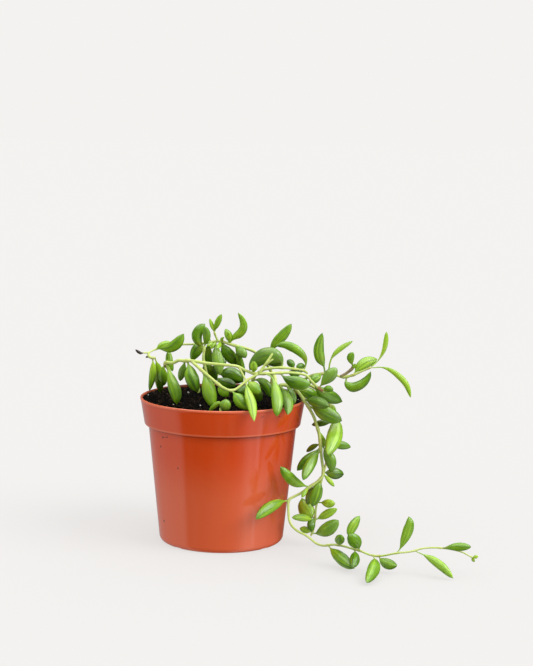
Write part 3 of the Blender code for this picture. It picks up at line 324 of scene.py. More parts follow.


# Leaves that lie in shade are given a darker tone, and that darkness is painted shade
PLANT = {
    "runner_front": [
        stem(
            hole=(-31.2, 3.0),
            thick=(1.15, 0.75),
            route=[
                (-31.4, 95, 2), (-32.4, 102, -3), (-34.4, 108.6, -9), (-36.6, 111.8, -13),
                (-36.4, 113.4, -15), (-32.0, 113.3, -18), (-28.3, 115.0, -20),
                (-24.8, 114.7, -22), (-20.5, 114.8, -25), (-10.0, 113.3, -28), (0.0, 112.4, -29),
                (8.5, 111.6, -30), (14.4, 108.9, -30), (21.0, 106.9, -30), (28.5, 107.3, -30),
                (34.4, 107.5, -29), (42.0, 107.9, -28), (49.2, 107.2, -27), (53.3, 105.9, -27),
                (56.0, 102.8, -27), (58.9, 99.8, -27), (61.6, 97.6, -27), (65.0, 95.4, -27),
            ],
            leaves=[
                leaf(4, 5.6, (-37, 112.4), (-38.4, 109), (-38.2, 104.5), (-37.4, 98.6),
                     tone=0.75, tip_darkening=1.3),
                leaf(-8, 7.6, (-36.2, 113), (-35, 109.4), (-32.4, 101), (-30, 93.5),
                     (-29.5, 86.4), peak=0.62, tone=0.5, tip_darkening=1.0),
                leaf(-6, 8.6, (-23, 114.7), (-21.6, 110.5), (-20.4, 105), (-18.4, 99.8),
                     (-16, 94.6), tone=0.75, tip_darkening=1.2),
                leaf(5, 4.8, (-24.5, 114.7), (-25.4, 110), (-26.6, 105.6), (-27.4, 101.6),
                     tone=0.9, bloom=0.5),
                leaf(-4, 4.8, (19.6, 107.1), (19.4, 110), (19.3, 112.5), (19.2, 115), tone=0.3),
                leaf(-22, 7.2, (26, 107.1), (30.2, 105.6), (32.8, 100.4), (34.4, 92),
                     (34.8, 86), (34.4, 79.3), stalk=0.2, peak=0.58, tone=0.48, window=0.35),
                leaf(-4, 8.2, (36, 107.5), (39.4, 104.4), (45, 102), (50.5, 100.8), (55.8, 101),
                     peak=0.58, point=0.03, tone=0.95, tip_darkening=-0.5),
                leaf(12, 8.4, (57.4, 101.4), (60.5, 97.4), (66.5, 93.4), (76.4, 89.4),
                     point=0.2, tone=0.75, tip_darkening=0.6),
                leaf(-2, 7.6, (61, 98.4), (63.8, 101.6), (67.6, 106), (72.2, 111.2), peak=0.6,
                     point=0.02, tone=0.6, bloom=0.7),
                leaf(-3, 4.2, (63.2, 96.6), (66.6, 97.8), (70.4, 97), tone=0.7),
            ],
        ),
        stem(
            thick=(1.0, 0.7),
            route=[
                (-20.5, 114.8, -25), (-16.8, 111.5, -28), (-14.0, 109.0, -30),
                (-9.8, 105.5, -33), (-6.5, 102.7, -35), (-2.6, 99.5, -36.5), (0.8, 97.3, -37.5),
                (4.7, 95.9, -38), (8.0, 96.7, -37.5), (11.2, 99.2, -36), (14.6, 102.2, -34),
                (18.3, 104.6, -32), (22.5, 107.0, -30),
            ],
            leaves=[
                leaf(-8, 8.8, (-14.2, 109.1), (-11.2, 104), (-9.2, 96.8), (-7.4, 89.6),
                     (-6.5, 84.6), peak=0.56, tone=0.52, tip_darkening=0.3, window=0.3),
                leaf(-3, 6.0, (-3.2, 100), (-2, 97.6), (0.6, 94.8), (3.6, 92), tone=0.5,
                     tip_darkening=0.5),
                leaf(-6, 7.6, (5.5, 96), (7.9, 93), (11.6, 88.6), (16.4, 83.8), tone=0.55),
                leaf(-24, 6.0, (14.6, 102.2), (15.1, 98.6), (16.4, 93), (18.4, 87),
                     (19.4, 81.5), (20.2, 75.8), peak=0.48, point=0.25, tone=0.12, tip_darkening=-0.1,
                     window=0.9),
                leaf(-14, 7.6, (15.6, 102.8), (17.8, 99.8), (20.5, 97), (23.8, 94.6),
                     point=0.02, tone=0.45),
            ],
        ),
        stem(
            thick=(0.7, 0.6),
            route=[(9.5, 111.3, -30), (11.6, 108, -31.5), (13.2, 104.8, -33), (14.6, 102.2, -34)],
        ),
        stem(
            thick=(0.9, 0.7),
            route=[(22.5, 107.0, -30), (25.7, 111.5, -29), (28.0, 115.0, -28),
                   (31.0, 119.8, -26.5)],
        ),
        stem(
            thick=(0.8, 0.6),
            route=[(26.5, 112.6, -28.7), (28.8, 114.4, -30), (31.4, 116.3, -31)],
        ),
    ],
    "shoot_left": [
        stem(
            hole=(-9.2, 1.0),
            thick=(1.1, 0.8),
            route=[(-9.3, 95, 0), (-9.8, 103, -1), (-11.4, 110, -2.5), (-12.7, 115.6, -3),
                   (-12.5, 120, -2.5), (-12.1, 124.3, -2)],
            leaves=[
                leaf(1, 6.8, (-12.2, 122.3), (-16, 127), (-17, 131), (-15.2, 135.2),
                     (-11.8, 138.6), tone=0.8),
                leaf(-4, 5.0, (-11.9, 124), (-10.9, 128.5), (-10.9, 133), (-12, 137), tone=0.6,
                     bloom=0.3),
                leaf(4, 7.4, (-12.8, 113.6), (-10.6, 112), (-7.4, 107), (-6, 100), tone=1.1),
            ],
        ),
    ],
    "shoot_front": [
        stem(
            hole=(-1.5, -42.0),
            thick=(1.0, 0.9),
            route=[(-1.4, 81.6, -42), (-1.2, 84.4, -42)],
            leaves=[
                leaf(-2, 7.2, (-1.4, 82), (0.2, 83.6), (1.7, 87), (2.4, 90.2), point=0.02,
                     tone=0.5, bloom=0.35),
                leaf(2, 3.2, (-1.2, 84.2), (-1.8, 87.4), (-4.6, 86.6), (-8.9, 82.2), tone=0.55),
            ],
        ),
    ],
    "runner_rear": [
        stem(
            hole=(33.0, 17.0),
            thick=(1.2, 0.42),
            route=[
                (32.6, 98, 16), (31.8, 104, 15), (29.6, 110, 13), (25.5, 116, 10),
                (19.6, 121.1, 7), (12, 123.8, 5), (6.8, 125, 4), (0.2, 127, 3), (-3.8, 127.6, 3),
                (-9.3, 126.6, 4), (-15, 125.9, 6), (-20, 125.4, 7), (-25.7, 125.2, 6),
                (-33, 124, 3), (-38, 122.9, 0), (-43.3, 121.8, -4), (-47, 119.9, -7),
                (-49.2, 119.6, -8), (-50.8, 119.6, -8.5),
            ],
            leaves=[
                leaf(-4, 6.6, (26.5, 114.8), (28.8, 120.5), (32.5, 126.3), (36.5, 130.6),
                     (40, 134.8), (42.9, 139.4), stalk=0.25, tone=0.4),
                leaf(-4, 6.2, (6.8, 125), (10, 122), (12.6, 119.6), (14.3, 117), tone=0.6,
                     bloom=0.7),
                leaf(-3, 5.4, (3.2, 126.2), (6.8, 130.2), (10.6, 133), (12.6, 137),
                     (11.6, 141.5), (8.8, 146), peak=0.42, tone=0.35),
                leaf(2, 5.0, (4, 126.2), (3.6, 130), (1, 135.6), peak=0.45, tone=0.15,
                     bloom=0.3),
                leaf(-2, 3.0, (3, 126.2), (3.6, 129.6), (3.0, 133.6), tone=0.1),
                leaf(1, 4.4, (7.3, 124.9), (9, 120), (11, 113), (13.6, 105), tone=1.0),
                leaf(-3, 2.4, (-4.6, 127.5), (-6.4, 124.8), (-8.4, 122.5), tone=0.0),
                leaf(-9, 2.8, (-1.8, 127.3), (-2.6, 125), (-4.2, 122.8), tone=0.0),
                leaf(2, 2.2, (-8.4, 126.8), (-9.6, 128.9), tone=0.0),
                leaf(-5, 2.2, (-6.5, 127), (-9, 125), (-11, 124.6), tone=0.0),
                leaf(-6, 2.0, (-0.6, 127.2), (-1.2, 129), (0.2, 130.2), tone=0.0),
                leaf(3, 7.2, (-12.2, 126.3), (-14.8, 124.4), (-17.6, 120.5), (-20.3, 114.8),
                     stalk=0.05, peak=0.42, tone=0.75),
                leaf(-2, 6.4, (-9.2, 126.5), (-9.9, 121.5), (-10, 115), (-9.4, 108.8),
                     stalk=0.05, tone=0.95),
                leaf(2, 7.8, (-1.5, 127.4), (1.5, 121.4), (5, 117.2), (10.6, 112.4), stalk=0.05,
                     tone=0.95),
                leaf(-7, 7.4, (-5.3, 127.5), (-4.5, 121), (-3.3, 113.5), (-1.9, 105.5),
                     tone=0.5, bloom=0.8),
                leaf(-5, 7.0, (-43, 121.8), (-39, 122.4), (-34, 123), (-29.3, 126),
                     (-25.2, 132.2), peak=0.55, point=0.2, tone=0.65),
                leaf(2, 4.2, (-43, 121.8), (-39, 124.6), (-33, 126.4), tone=0.35),
                leaf(-4, 4.8, (-35, 123.5), (-34.6, 118), (-34, 113), (-32, 107.8), tone=0.5),
                leaf(-1, 1.9, (-50.4, 119.6), (-52.4, 119.3), (-54.2, 120.3), (-55.9, 121.6),
                     stalk=0.05, dried=1.0),
            ],
        ),
        stem(
            thick=(0.7, 0.6),
            route=[(-3.6, 127.6, 3), (-5, 130.5, 2.5), (-6, 133.6, 2)],
            leaves=[
                leaf(-1, 3.8, (-6, 133.2), (-5, 136.5), (-3.6, 140.3), (-1.5, 145), tone=0.3),
                leaf(1, 2.6, (-5.9, 132.8), (-7.3, 137), (-9, 142), tone=0.0),
            ],
        ),
        stem(
            thick=(0.8, 0.7),
            route=[(-47.3, 119.7, -7.1), (-47.5, 117.8, -8), (-45.8, 116.4, -9),
                   (-43.2, 116.4, -10)],
            leaves=[
                leaf(1, 4.5, (-44.8, 116), (-44.5, 110), (-45.1, 103), (-46.9, 95), peak=0.43,
                     tone=0.55, tip_darkening=1.7),
                leaf(-3, 6.3, (-43.4, 116.1), (-41.6, 111), (-40.6, 104), (-39.8, 93.6),
                     peak=0.48, tone=0.7, tip_darkening=1.6),
                leaf(0, 1.2, (-47.4, 117.2), (-48.4, 117), (-49.4, 116.6), dried=0.9),
            ],
        ),
    ],
    "shoot_crown": [
        stem(
            hole=(17.0, -13.0),
            thick=(1.1, 0.7),
            route=[
                (17.3, 95, -13), (19, 103, -17), (21.5, 107, -20), (25, 109.3, -22),
                (28.5, 110.3, -22.5), (34, 111, -22), (39.5, 110.9, -20), (45, 110.3, -17.5),
                (50.5, 109.6, -15), (53.6, 107.6, -14),
            ],
            leaves=[
                leaf(8, 10.5, (37, 111), (37.6, 114), (34, 117.6), (29, 118.8), (24, 117.4),
                     (19.6, 113.6), (16.6, 109), peak=0.4, tone=0.95, bloom=0.5),
                leaf(5, 8.5, (37.5, 111), (36.2, 114.2), (32, 116), (27.4, 114.4), point=0.02,
                     tone=1.0),
                leaf(4, 4.6, (45, 110.4), (43.6, 113.2), (40.4, 116), point=0.2, tone=1.1),
                leaf(-5, 6.2, (19, 103), (23.6, 102.6), (28.2, 98.4), (30.4, 91.8), tone=0.95),
                leaf(-4, 6.2, (17.6, 100), (15.6, 97.6), (12.8, 95.8), (8.8, 95.6), tone=1.0),
                leaf(3, 6.0, (18, 99), (20, 97.4), (22.4, 93.6), (23.4, 88.6), tone=1.0),
                leaf(6, 5.6, (51, 109.5), (52.4, 113), (51.6, 117.5), (48.3, 121.2), (44, 124),
                     (38.5, 125.8), (32.8, 125), peak=0.55, tone=0.6),
                leaf(-3, 4.4, (50.8, 109.5), (48.4, 107.8), (45, 107.4), (41, 108.4),
                     point=0.2, tone=1.05),
                leaf(3, 4.2, (46, 110.2), (48.6, 112), (52, 112.4), point=0.2, tone=0.95),
            ],
        ),
    ],
    "sprig_right": [
        stem(
            hole=(43.0, -2.0),
            thick=(1.1, 0.7),
            route=[
                (44.5, 95, -2), (48, 100, -4), (53, 104.5, -7), (58, 106.8, -9),
                (64, 107.4, -11), (69, 107, -12), (73, 106.2, -13), (76.7, 104.9, -14),
            ],
            leaves=[
                leaf(-3, 6.8, (64.5, 107.4), (64, 112), (61.4, 117.5), (60.4, 123),
                     (61.2, 128.5), (62.6, 133.8), stalk=0.16, peak=0.42, tone=0.65,
                     window=0.4),
                leaf(3, 3.2, (67, 107.3), (67.4, 112.5), (69.2, 118.3), (74.4, 123.8),
                     (82.2, 128.8), stalk=0.32, tone=0.1, bloom=0.2),
                leaf(-4, 5.4, (63, 107.4), (60.6, 105.4), (57.6, 103.4), (55, 101.4), tone=0.5),
            ],
        ),
        stem(
            thick=(1.0, 0.8),
            brown=0.8,
            route=[(74.6, 105.6, -13.4), (78, 107.6, -13.6), (82, 111, -14), (82.6, 113, -14)],
            leaves=[
                leaf(-3, 4.8, (82.5, 112.6), (81.3, 115.5), (80.9, 118.5), (82.3, 121.5),
                     peak=0.6, point=0.05, tone=0.5),
                leaf(-2, 2.2, (81.5, 110.6), (83.2, 112.2), (84, 114.3), tone=0.3),
            ],
        ),
        stem(
            thick=(0.85, 0.55),
            route=[(76.2, 105.1, -13.9), (82.8, 106.8, -16), (88.6, 109.5, -17),
                   (94, 111.8, -18)],
            leaves=[
                leaf(4, 7.0, (82.5, 106.7), (86, 111.3), (91, 115), (98, 117.3), tone=0.3,
                     window=0.6),
                leaf(2, 3.2, (93.6, 111.6), (98.2, 116), (101.6, 122), (103, 128),
                     (103.4, 135), stalk=0.2, peak=0.66, point=0.04, tone=0.0),
                leaf(-4, 3.9, (93, 111.4), (100.6, 112), (106.5, 110.2), (112.4, 106),
                     (117.2, 100.4), (120, 92.6), stalk=0.16, peak=0.58, point=0.04,
                     tone=0.02),
                leaf(-4, 6.2, (78.6, 105.6), (78.4, 101.6), (82.5, 98.9), (88, 100.8),
                     (92, 104.8), (94.1, 109.4), peak=0.36, tone=0.7),
            ],
        ),
    ],
    "trail_front": [
        stem(
            hole=(34.0, -17.0),
            thick=(1.1, 0.42),
            route=[
                (35, 95, -18), (36.4, 99.4, -20), (40.3, 99.8, -20), (44.8, 98.4, -19),
                (47, 96.2, -18.5), (49.8, 93, -18.5), (52.2, 89.4, -19.5), (54.5, 86.3, -20.5),
                (56.3, 83, -21), (58.3, 79.3, -21.5), (59.8, 75, -22), (61.3, 70.3, -23),
                (62.3, 65.5, -24), (62.9, 60.5, -25.5), (63.3, 56, -26.5), (64.1, 50, -27.5),
                (64.9, 44.5, -28.5), (64.3, 40.5, -29.5), (60.3, 36.4, -30), (56.3, 33.7, -30.5),
                (50.9, 29.6, -31), (46.7, 27.4, -31.5), (43.2, 25, -32.5), (42.9, 20.5, -33.5),
                (43.2, 15.4, -35), (43.7, 11.6, -37), (45.2, 8.3, -39), (47.5, 5.8, -41),
                (50.4, 3.8, -43), (53.8, 2.2, -45), (57, 0, -47), (60.3, -2.8, -49.5),
                (63.3, -4.4, -52), (66.5, -5, -55), (69.8, -4.5, -57.5), (73.8, -4.3, -60),
                (77.8, -4.9, -62.5), (81.5, -5.9, -65), (85.3, -7, -67), (90.3, -8.4, -70),
                (95.5, -10.6, -73), (100.6, -11.6, -75.5), (105.7, -11.2, -77),
                (110.8, -10.1, -78.5), (115.3, -9.3, -79.5), (120, -8.9, -80),
                (125, -7.9, -80.5), (129.5, -6.5, -80.5), (135.3, -5.8, -80.5),
                (141.8, -5.9, -80.5), (149, -6.8, -80), (156.5, -8.7, -79.5),
                (160.5, -10.8, -79), (163.2, -12, -79),
            ],
            leaves=[
                leaf(-20, 6.6, (36.4, 99.4), (37.8, 97.4), (40, 93.3), (41.6, 88.5),
                     (42, 84.5), (41.4, 80.6), tone=0.75, bloom=0.6),
                leaf(6, 7.4, (46.4, 96.8), (50.4, 96.6), (55, 94.6), (61.4, 91), tone=0.8),
                leaf(-10, 4.6, (40.3, 99.8), (42.8, 96), (44.8, 91.6), (45.2, 87.4), tone=0.85),
                leaf(6, 7.6, (51.4, 90.6), (56, 90), (61.6, 88.6), (68, 86.4), tone=0.9,
                     bloom=0.3),
                leaf(-6, 9.8, (54.5, 86.3), (59.5, 84.6), (66, 81.6), (71.5, 79), (76.4, 77),
                     tone=0.72, tip_darkening=0.5, bloom=0.3),
                leaf(9, 3.4, (62.7, 62), (60, 61), (57, 59.2), (53.8, 56.6), tone=1.1),
                leaf(-2, 6.2, (62.9, 60), (58.2, 54.6), (52.8, 49.8), (48, 44.2), tone=0.95),
                leaf(-6, 6.8, (63.1, 58.5), (58.6, 52), (54.8, 45), (52, 38), tone=0.8,
                     window=0.4),
                leaf(-2, 3.2, (61, 71.4), (63, 67), (66.8, 59.4), tone=0.0),
                leaf(-6, 7.2, (62.4, 64), (65.6, 58.4), (69.4, 51.4), (70.8, 43.8), stalk=0.24,
                     point=0.03, tone=0.7, bloom=0.4),
                leaf(3, 7.2, (64.9, 43.5), (69, 43), (73.5, 42.6), (78.3, 42.2), tone=1.05),
                leaf(-4, 3.0, (64.9, 42.6), (66.8, 40.4), (69.5, 37.5), (72.3, 34), tone=0.1),
                leaf(-3, 7.6, (63.3, 39.4), (62.4, 35), (60.6, 28.5), (58.2, 20.6), tone=0.75,
                     window=0.35),
                leaf(16, 4.6, (58.6, 35.2), (57, 31), (56, 26.6), (55.4, 21.6), tone=0.9),
                leaf(-6, 2.8, (55.4, 33), (53.6, 30.4), (51.4, 26.6), tone=0.2),
                leaf(-4, 6.8, (56.3, 33.8), (52.5, 34.7), (46.5, 37), (41, 42.2), (37.3, 47),
                     tone=0.55),
                leaf(-9, 7.2, (43.1, 24.4), (38.5, 23.8), (32, 20.6), (26.3, 16.4), (22, 12),
                     tone=0.6),
                leaf(-5, 8.0, (89.5, -8.1), (88.4, -5), (85.6, -1), (82, 2.6), tone=0.75),
                leaf(5, 5.8, (87.5, -7.5), (84.8, -1), (83.4, 4.4), (86, 10), (89.2, 15),
                     stalk=0.3, tone=0.45, window=0.5),
                leaf(-12, 6.0, (76, -4.6), (76.4, -1.6), (76.8, 0.8), (77, 1.9), tone=0.6),
                leaf(-19, 7.4, (68.8, -4.7), (72, -8.3), (76.5, -12.2), (81.5, -16.6),
                     (86.6, -20), tone=0.65),
                leaf(-11, 6.2, (86.3, -7.2), (86.6, -11), (86.5, -15), (85.5, -19.5), tone=0.95),
                leaf(-23, 7.6, (98.8, -11.3), (99.8, -16), (98.8, -21), (96.8, -25.5),
                     (94.6, -29.6), peak=0.42, tone=0.5),
                leaf(-7, 6.4, (102, -11.5), (104, -14.3), (108.5, -17), (114.2, -17.9),
                     point=0.04, tone=0.85, window=0.3),
                leaf(3, 6.2, (113.5, -9.5), (115.8, -6.5), (118.2, -1), (120.4, 5),
                     (121.6, 10), (120.9, 15), peak=0.6, tone=0.55, window=0.4),
                leaf(-13, 5.2, (125, -7.9), (130.4, -10.2), (137.4, -14), (144, -19),
                     (151, -26.2), stalk=0.18, tone=0.24, window=0.4),
                leaf(-1, 5.0, (141.8, -5.9), (146, -5.7), (153, -5), (161.9, -5), peak=0.6,
                     point=0.03, tone=0.65),
                leaf(-1, 2.2, (163, -12), (164.6, -11.7), (166.8, -11.2), tone=-0.1),
                leaf(2, 2.0, (162.6, -11.8), (163.4, -13.4), (164.4, -15), tone=-0.1),
            ],
        ),
    ],
    "trail_rear": [
        stem(
            hole=(40.0, 12.0),
            thick=(1.1, 0.6),
            route=[
                (41, 95, 12), (44, 99, 11), (49, 101, 8), (55, 100, 4), (61, 96.5, 0),
                (66, 91.5, -3), (69.3, 85, -5), (70.4, 77, -6.5), (70, 68, -8), (68.6, 60, -9.5),
                (66.8, 50, -11), (64.4, 40, -13), (62.3, 30, -15), (60.8, 20, -17),
                (60.2, 12, -18.5), (59.2, 5, -19.5), (57.8, 1.6, -20),
            ],
            leaves=[
                leaf(-2, 3.0, (68, 88.3), (69.8, 86.5), (71, 84), (72.2, 81.5), tone=0.1),
                leaf(-14, 10.0, (70, 82), (72.4, 77), (72.4, 70), (70.6, 63), (67.6, 54.6),
                     tone=0.3, tip_darkening=0.1, window=0.3),
                leaf(4, 5.4, (69.6, 65), (73.5, 61.8), (78, 61), (82.4, 60), tone=0.8),
                leaf(5, 4.2, (70.4, 76), (66, 75.8), (61.5, 75.2), (56.8, 74.2), tone=1.1),
                leaf(-8, 5.4, (61.4, 24), (64.6, 23.4), (68.8, 22.9), (73, 22.8), stalk=0.22,
                     peak=0.55, point=0.02, tone=-0.1),
                leaf(-3, 5.4, (60.2, 12.2), (64, 13.8), (69, 16.6), (74.6, 19.6), tone=0.1,
                     window=0.3),
                leaf(3, 10.0, (60.2, 12.5), (56.8, 15.5), (53.4, 20.5), (51.4, 26.4),
                     peak=0.42, point=0.3, tone=0.35),
                leaf(-3, 4.8, (60.1, 12), (55.5, 12.8), (51, 13.6), (45.2, 13.4), tone=0.15),
                leaf(-4, 5.2, (60.3, 13.5), (58.2, 10.5), (57.9, 7.5), (58.4, 4.2), tone=1.0),
                leaf(-4, 8.8, (58.6, 3), (62, 3.3), (69, 6.2), (75.6, 12), tone=0.65,
                     bloom=0.35),
                leaf(2, 4.4, (58.9, 3.8), (55.5, 5), (50.4, 6.4), tone=0.2),
            ],
        ),
    ],
    "stem_rear_middle": [
        stem(
            hole=(-7.0, 17.0),
            thick=(1.2, 0.8),
            plain=True,
            route=[(-6.5, 21, 97), (-4, 30, 102), (0, 42, 101), (3, 52, 97.5), (4.5, 59, 88),
                   (6, 61, 75), (7, 59, 61), (8, 57, 48)],
            leaves=[
                leaf(-4, 10.0, (-3.2, 106.6), (0.4, 107), (6, 105.8), (13, 101.8), stalk=0.04,
                     tone=1.15),
                leaf(-6, 7.6, (-2.2, 103.6), (-1, 101.6), (3, 100.2), (8.4, 99.4), tone=1.2),
                leaf(-5, 7.6, (-2.6, 104.4), (-5.5, 105.4), (-9, 108.2), (-12.4, 112.2),
                     stalk=0.05, tone=1.05),
                leaf(4, 6.4, (-4.4, 106.4), (-3.6, 110), (-1.6, 113.6), (1.8, 117), tone=1.1),
            ],
        ),
    ],
    "stem_rear_right": [
        stem(
            hole=(34.5, 26.0),
            thick=(1.2, 0.8),
            plain=True,
            route=[(34.3, 31, 97), (33.8, 37, 100), (33, 43, 99), (32.4, 49.5, 94), (32, 53, 84),
                   (32, 53, 70), (31, 51, 57), (30, 50, 44), (29, 49, 34)],
        ),
    ],
    "stem_rear_left": [
        stem(
            hole=(-16.0, 20.0),
            thick=(1.2, 0.8),
            plain=True,
            route=[(-16.5, 26, 94.5), (-17.5, 35, 97), (-19.5, 44, 97), (-22, 53, 93.5),
                   (-24.5, 59, 85), (-26, 59, 73), (-27.5, 56, 61), (-28.5, 53.5, 50),
                   (-31, 52, 41)],
        ),
    ],
}
REAR_STEMS = ("stem_rear_middle", "stem_rear_right", "stem_rear_left")


def soil_height(x, y):
    """Height of the soil's loose surface, which is heaped up towards the back and the sides."""
    roll = 0.5 * math.sin(0.11 * x + 0.7) * math.cos(0.13 * y)
    lumps = 0.35 * math.sin(0.31 * x + 0.23 * y) * math.sin(0.27 * y - 0.19 * x + 1.1)
    back = max(-1.0, min(1.0, y / HEAP_REACH))
    heap = HEAP * (0.5 + 0.5 * math.sin(math.pi / 2 * back)) + SIDE_HEAP * (x / RIM_RADIUS) ** 2
    fall = -0.6 * (math.hypot(x, y) / RIM_RADIUS) ** 4
    return SOIL_LEVEL + 0.6 + roll + lumps + heap + fall


def collar_inside(height):
    """Inner radius of the collar at a height."""
    low, high = POT_HEIGHT - COLLAR_HEIGHT + COLLAR_SEAT, POT_HEIGHT - LIP_DEPTH
    share = (height - low) / (high - low)
    foot = COLLAR_FOOT_RADIUS - WALL
    return foot + (RIM_RADIUS - WALL - LIP_SWELL - foot) * share


def pot_wall(height):
    """Outer radius of the pot's wall at a height above the foot's corner."""
    collar_foot = POT_HEIGHT - COLLAR_HEIGHT
    if height >= collar_foot:
        share = (height - collar_foot) / COLLAR_HEIGHT
        return COLLAR_FOOT_RADIUS + (RIM_RADIUS - COLLAR_FOOT_RADIUS) * share
    share = (height - FOOT_CORNER) / (collar_foot - FOOT_CORNER)
    return BODY_FOOT_RADIUS + (BODY_TOP_RADIUS - BODY_FOOT_RADIUS) * share


def on_pot(right, height):
    """The point of the pot's front that looks to be at a place, found closer at each turn."""
    point = seen(right, height, 0.0)
    for _ in range(8):
        point = seen(right, height, -math.sqrt(max(pot_wall(point.z) ** 2 - point.x ** 2, 0.0)))
    return point


def on_soil(right, height):
    """The point of the soil's top that looks to be at a place."""
    depths = (0.5 * step for step in range(-90, 91))
    looked = (seen(right, height, depth) for depth in depths)
    return next(point for point in looked if point.z <= soil_height(point.x, point.y))


def smooth_line(points, cuts):
    """A smooth curve through points, with a number of cuts between each two."""
    line = []
    ends = [2 * points[0] - points[1], *points, 2 * points[-1] - points[-2]]
    for before, start, finish, after in zip(ends, ends[1:], ends[2:], ends[3:]):
        for cut in range(cuts):
            t = cut / cuts
            line.append(0.5 * (
                2 * start + (finish - before) * t
                + (2 * before - 5 * start + 4 * finish - after) * t ** 2
                + (3 * start - before - 3 * finish + after) * t ** 3
            ))
    line.append(points[-1].copy())
    return line


def along(line, shares):
    """Points of a line at shares of its length, and that length."""
    places = np.array([tuple(point) for point in line])
    steps = np.linalg.norm(np.diff(places, axis=0), axis=1)
    length = np.concatenate(([0.0], np.cumsum(steps)))
    wanted = np.array(shares) * length[-1]
    columns = [np.interp(wanted, length, places[:, axis]) for axis in range(3)]
    return [Vector(point) for point in zip(*columns)], length[-1]


def sides_along(directions, side):
    """Sideways directions of a line, turned from its middle outwards only as the line turns."""
    middle = len(directions) // 2
    found = [side] * len(directions)
    outwards = [(middle, middle)]
    outwards += [(index, index - 1) for index in range(middle + 1, len(directions))]
    outwards += [(index, index + 1) for index in range(middle - 1, -1, -1)]
    for index, nearer in outwards:
        direction = directions[index]
        found[index] = (found[nearer] - direction * found[nearer].dot(direction)).normalized()
    return found


def fullness(share, peak):
    """Width of a leaf's body at a share of its length, widest at the peak's share."""
    power = math.log(0.5) / math.log(peak)
    return math.sin(math.pi * min(share, 1.0) ** power) ** LEAF_FULLNESS


def leaf_widths(made, shares):
    """Half widths of a leaf at shares of its whole length, its stalk included."""
    widths = []
    for share in shares:
        body = (share - made["stalk"]) / (1 - made["stalk"])
        if share >= LEAF_END:
            widths.append(0.0)
        elif body <= 0:
            widths.append(made["root"])
        else:
            full = made["width"] / 2 * fullness(body, made["peak"])
            widths.append(max(made["root"], full))
    return widths


def stem_line(made):
    """The smooth curve of a stem, straight up out of its hole first."""
    points = [Vector(place) if made["plain"] else seen(*place) for place in made["route"]]
    if made["hole"]:
        x, y = made["hole"]
        level = soil_height(x, y)
        points = [Vector((x, y, level)), Vector((x, y, level + HOLE_RISE))] + points
    line = smooth_line(points, STEM_CUTS)
    if made["hole"]:
        line = [Vector((x, y, level - ROOT_DEPTH))] + line
    return line


def stem_radius(made, share):
    return made["thick"][0] + (made["thick"][1] - made["thick"][0]) * share


def leaf_line(made, grown_on, swing):
    """The middle line of a leaf that swings back by an extra depth at its tip."""
    root = grown_on["point"]
    looks = [as_seen(root), *made["places"][1:]]
    steps = [math.dist(near, far) for near, far in zip(looks, looks[1:])]
    total = sum(steps)
    points = [root]
    gone = 0.0
    for place, step in zip(looks[1:], steps):
        gone += step
        points.append(seen(*place, root.y + (made["swing"] + swing) * gone / total))
    return smooth_line(points, LEAF_CUTS)


def place_on_stem(made, line, place):
    """The point of a stem that looks nearest to a place, and the stem's radius there."""
    nearest = min(range(len(line)), key=lambda index: math.dist(as_seen(line[index]), place))
    share = nearest / (len(line) - 1)
    return {"point": line[nearest], "radius": stem_radius(made, share)}


def beads(points, radii):
    """Balls strung on a line, as rows of x, y, z and radius, to measure gaps from."""
    return np.array([(*point, radius) for point, radius in zip(points, radii)])


def wall_gap(rows):
    """Clear distance of beads from the pot's wall, the soil and the ground."""
    middle = WALL / 2
    step = POT_HEIGHT - COLLAR_HEIGHT
    corners = [
        (FOOT_RADIUS, middle), (BODY_FOOT_RADIUS - middle, FOOT_CORNER),
        (BODY_TOP_RADIUS - middle, step), (COLLAR_FOOT_RADIUS - middle, step + middle),
        (RIM_RADIUS - middle, POT_HEIGHT - middle),
    ]
    best = np.inf
    for x, y, z, radius in rows:
        out = math.hypot(x, y)
        for (near_r, near_z), (far_r, far_z) in zip(corners, corners[1:]):
            run, rise = far_r - near_r, far_z - near_z
            share = ((out - near_r) * run + (z - near_z) * rise) / (run ** 2 + rise ** 2)
            share = min(max(share, 0.0), 1.0)
            distance = math.hypot(out - near_r - share * run, z - near_z - share * rise)
            best = min(best, distance - middle - radius)
        if out < RIM_RADIUS - WALL:
            best = min(best, z - soil_height(x, y) - radius)
        best = min(best, z - radius)
    return best


def clear_gap(rows, node, root, taken):
    """Spare distance round a leaf, less what it needs to its own stem and to others."""
    best = wall_gap(rows) - OTHER_STEM_GAP
    for other, placed in taken:
        needed = OTHER_STEM_GAP
        if other == node:
            needed = SAME_STEM_GAP
            far = np.linalg.norm(placed[:, :3] - np.array(root), axis=1) > ROOT_REACH
            placed = placed[far]
        if len(placed):
            apart = np.linalg.norm(rows[:, None, :3] - placed[None, :, :3], axis=2)
            spare = apart - rows[:, None, 3] - placed[None, :, 3]
            best = min(best, spare.min() - needed)
    return best


def leaf_beads(made, line):
    points, _ = along(line, BEAD_SHARES)
    return beads(points, [BEAD_FIT * width for width in leaf_widths(made, BEAD_SHARES)])


def clear_line(made, grown_on, node, taken):
    """The leaf's middle line with the smallest extra swing that keeps it clear."""
    best = None
    for swing in SWINGS:
        line = leaf_line(made, grown_on, swing)
        gap = clear_gap(leaf_beads(made, line), node, grown_on["point"], taken)
        if gap >= 0:
            return line
        if best is None or gap > best[0]:
            best = (gap, line)
    return best[1]


def out_of_sight(rows):
    """Whether beads behind the pot are hidden by it, as seen from the front."""
    for x, y, z, radius in rows:
        right, height = as_seen(Vector((x, y, z)))
        if height > POT_HEIGHT or abs(right) + radius > pot_wall(height) - HIDDEN_MARGIN:
            return False
    return True


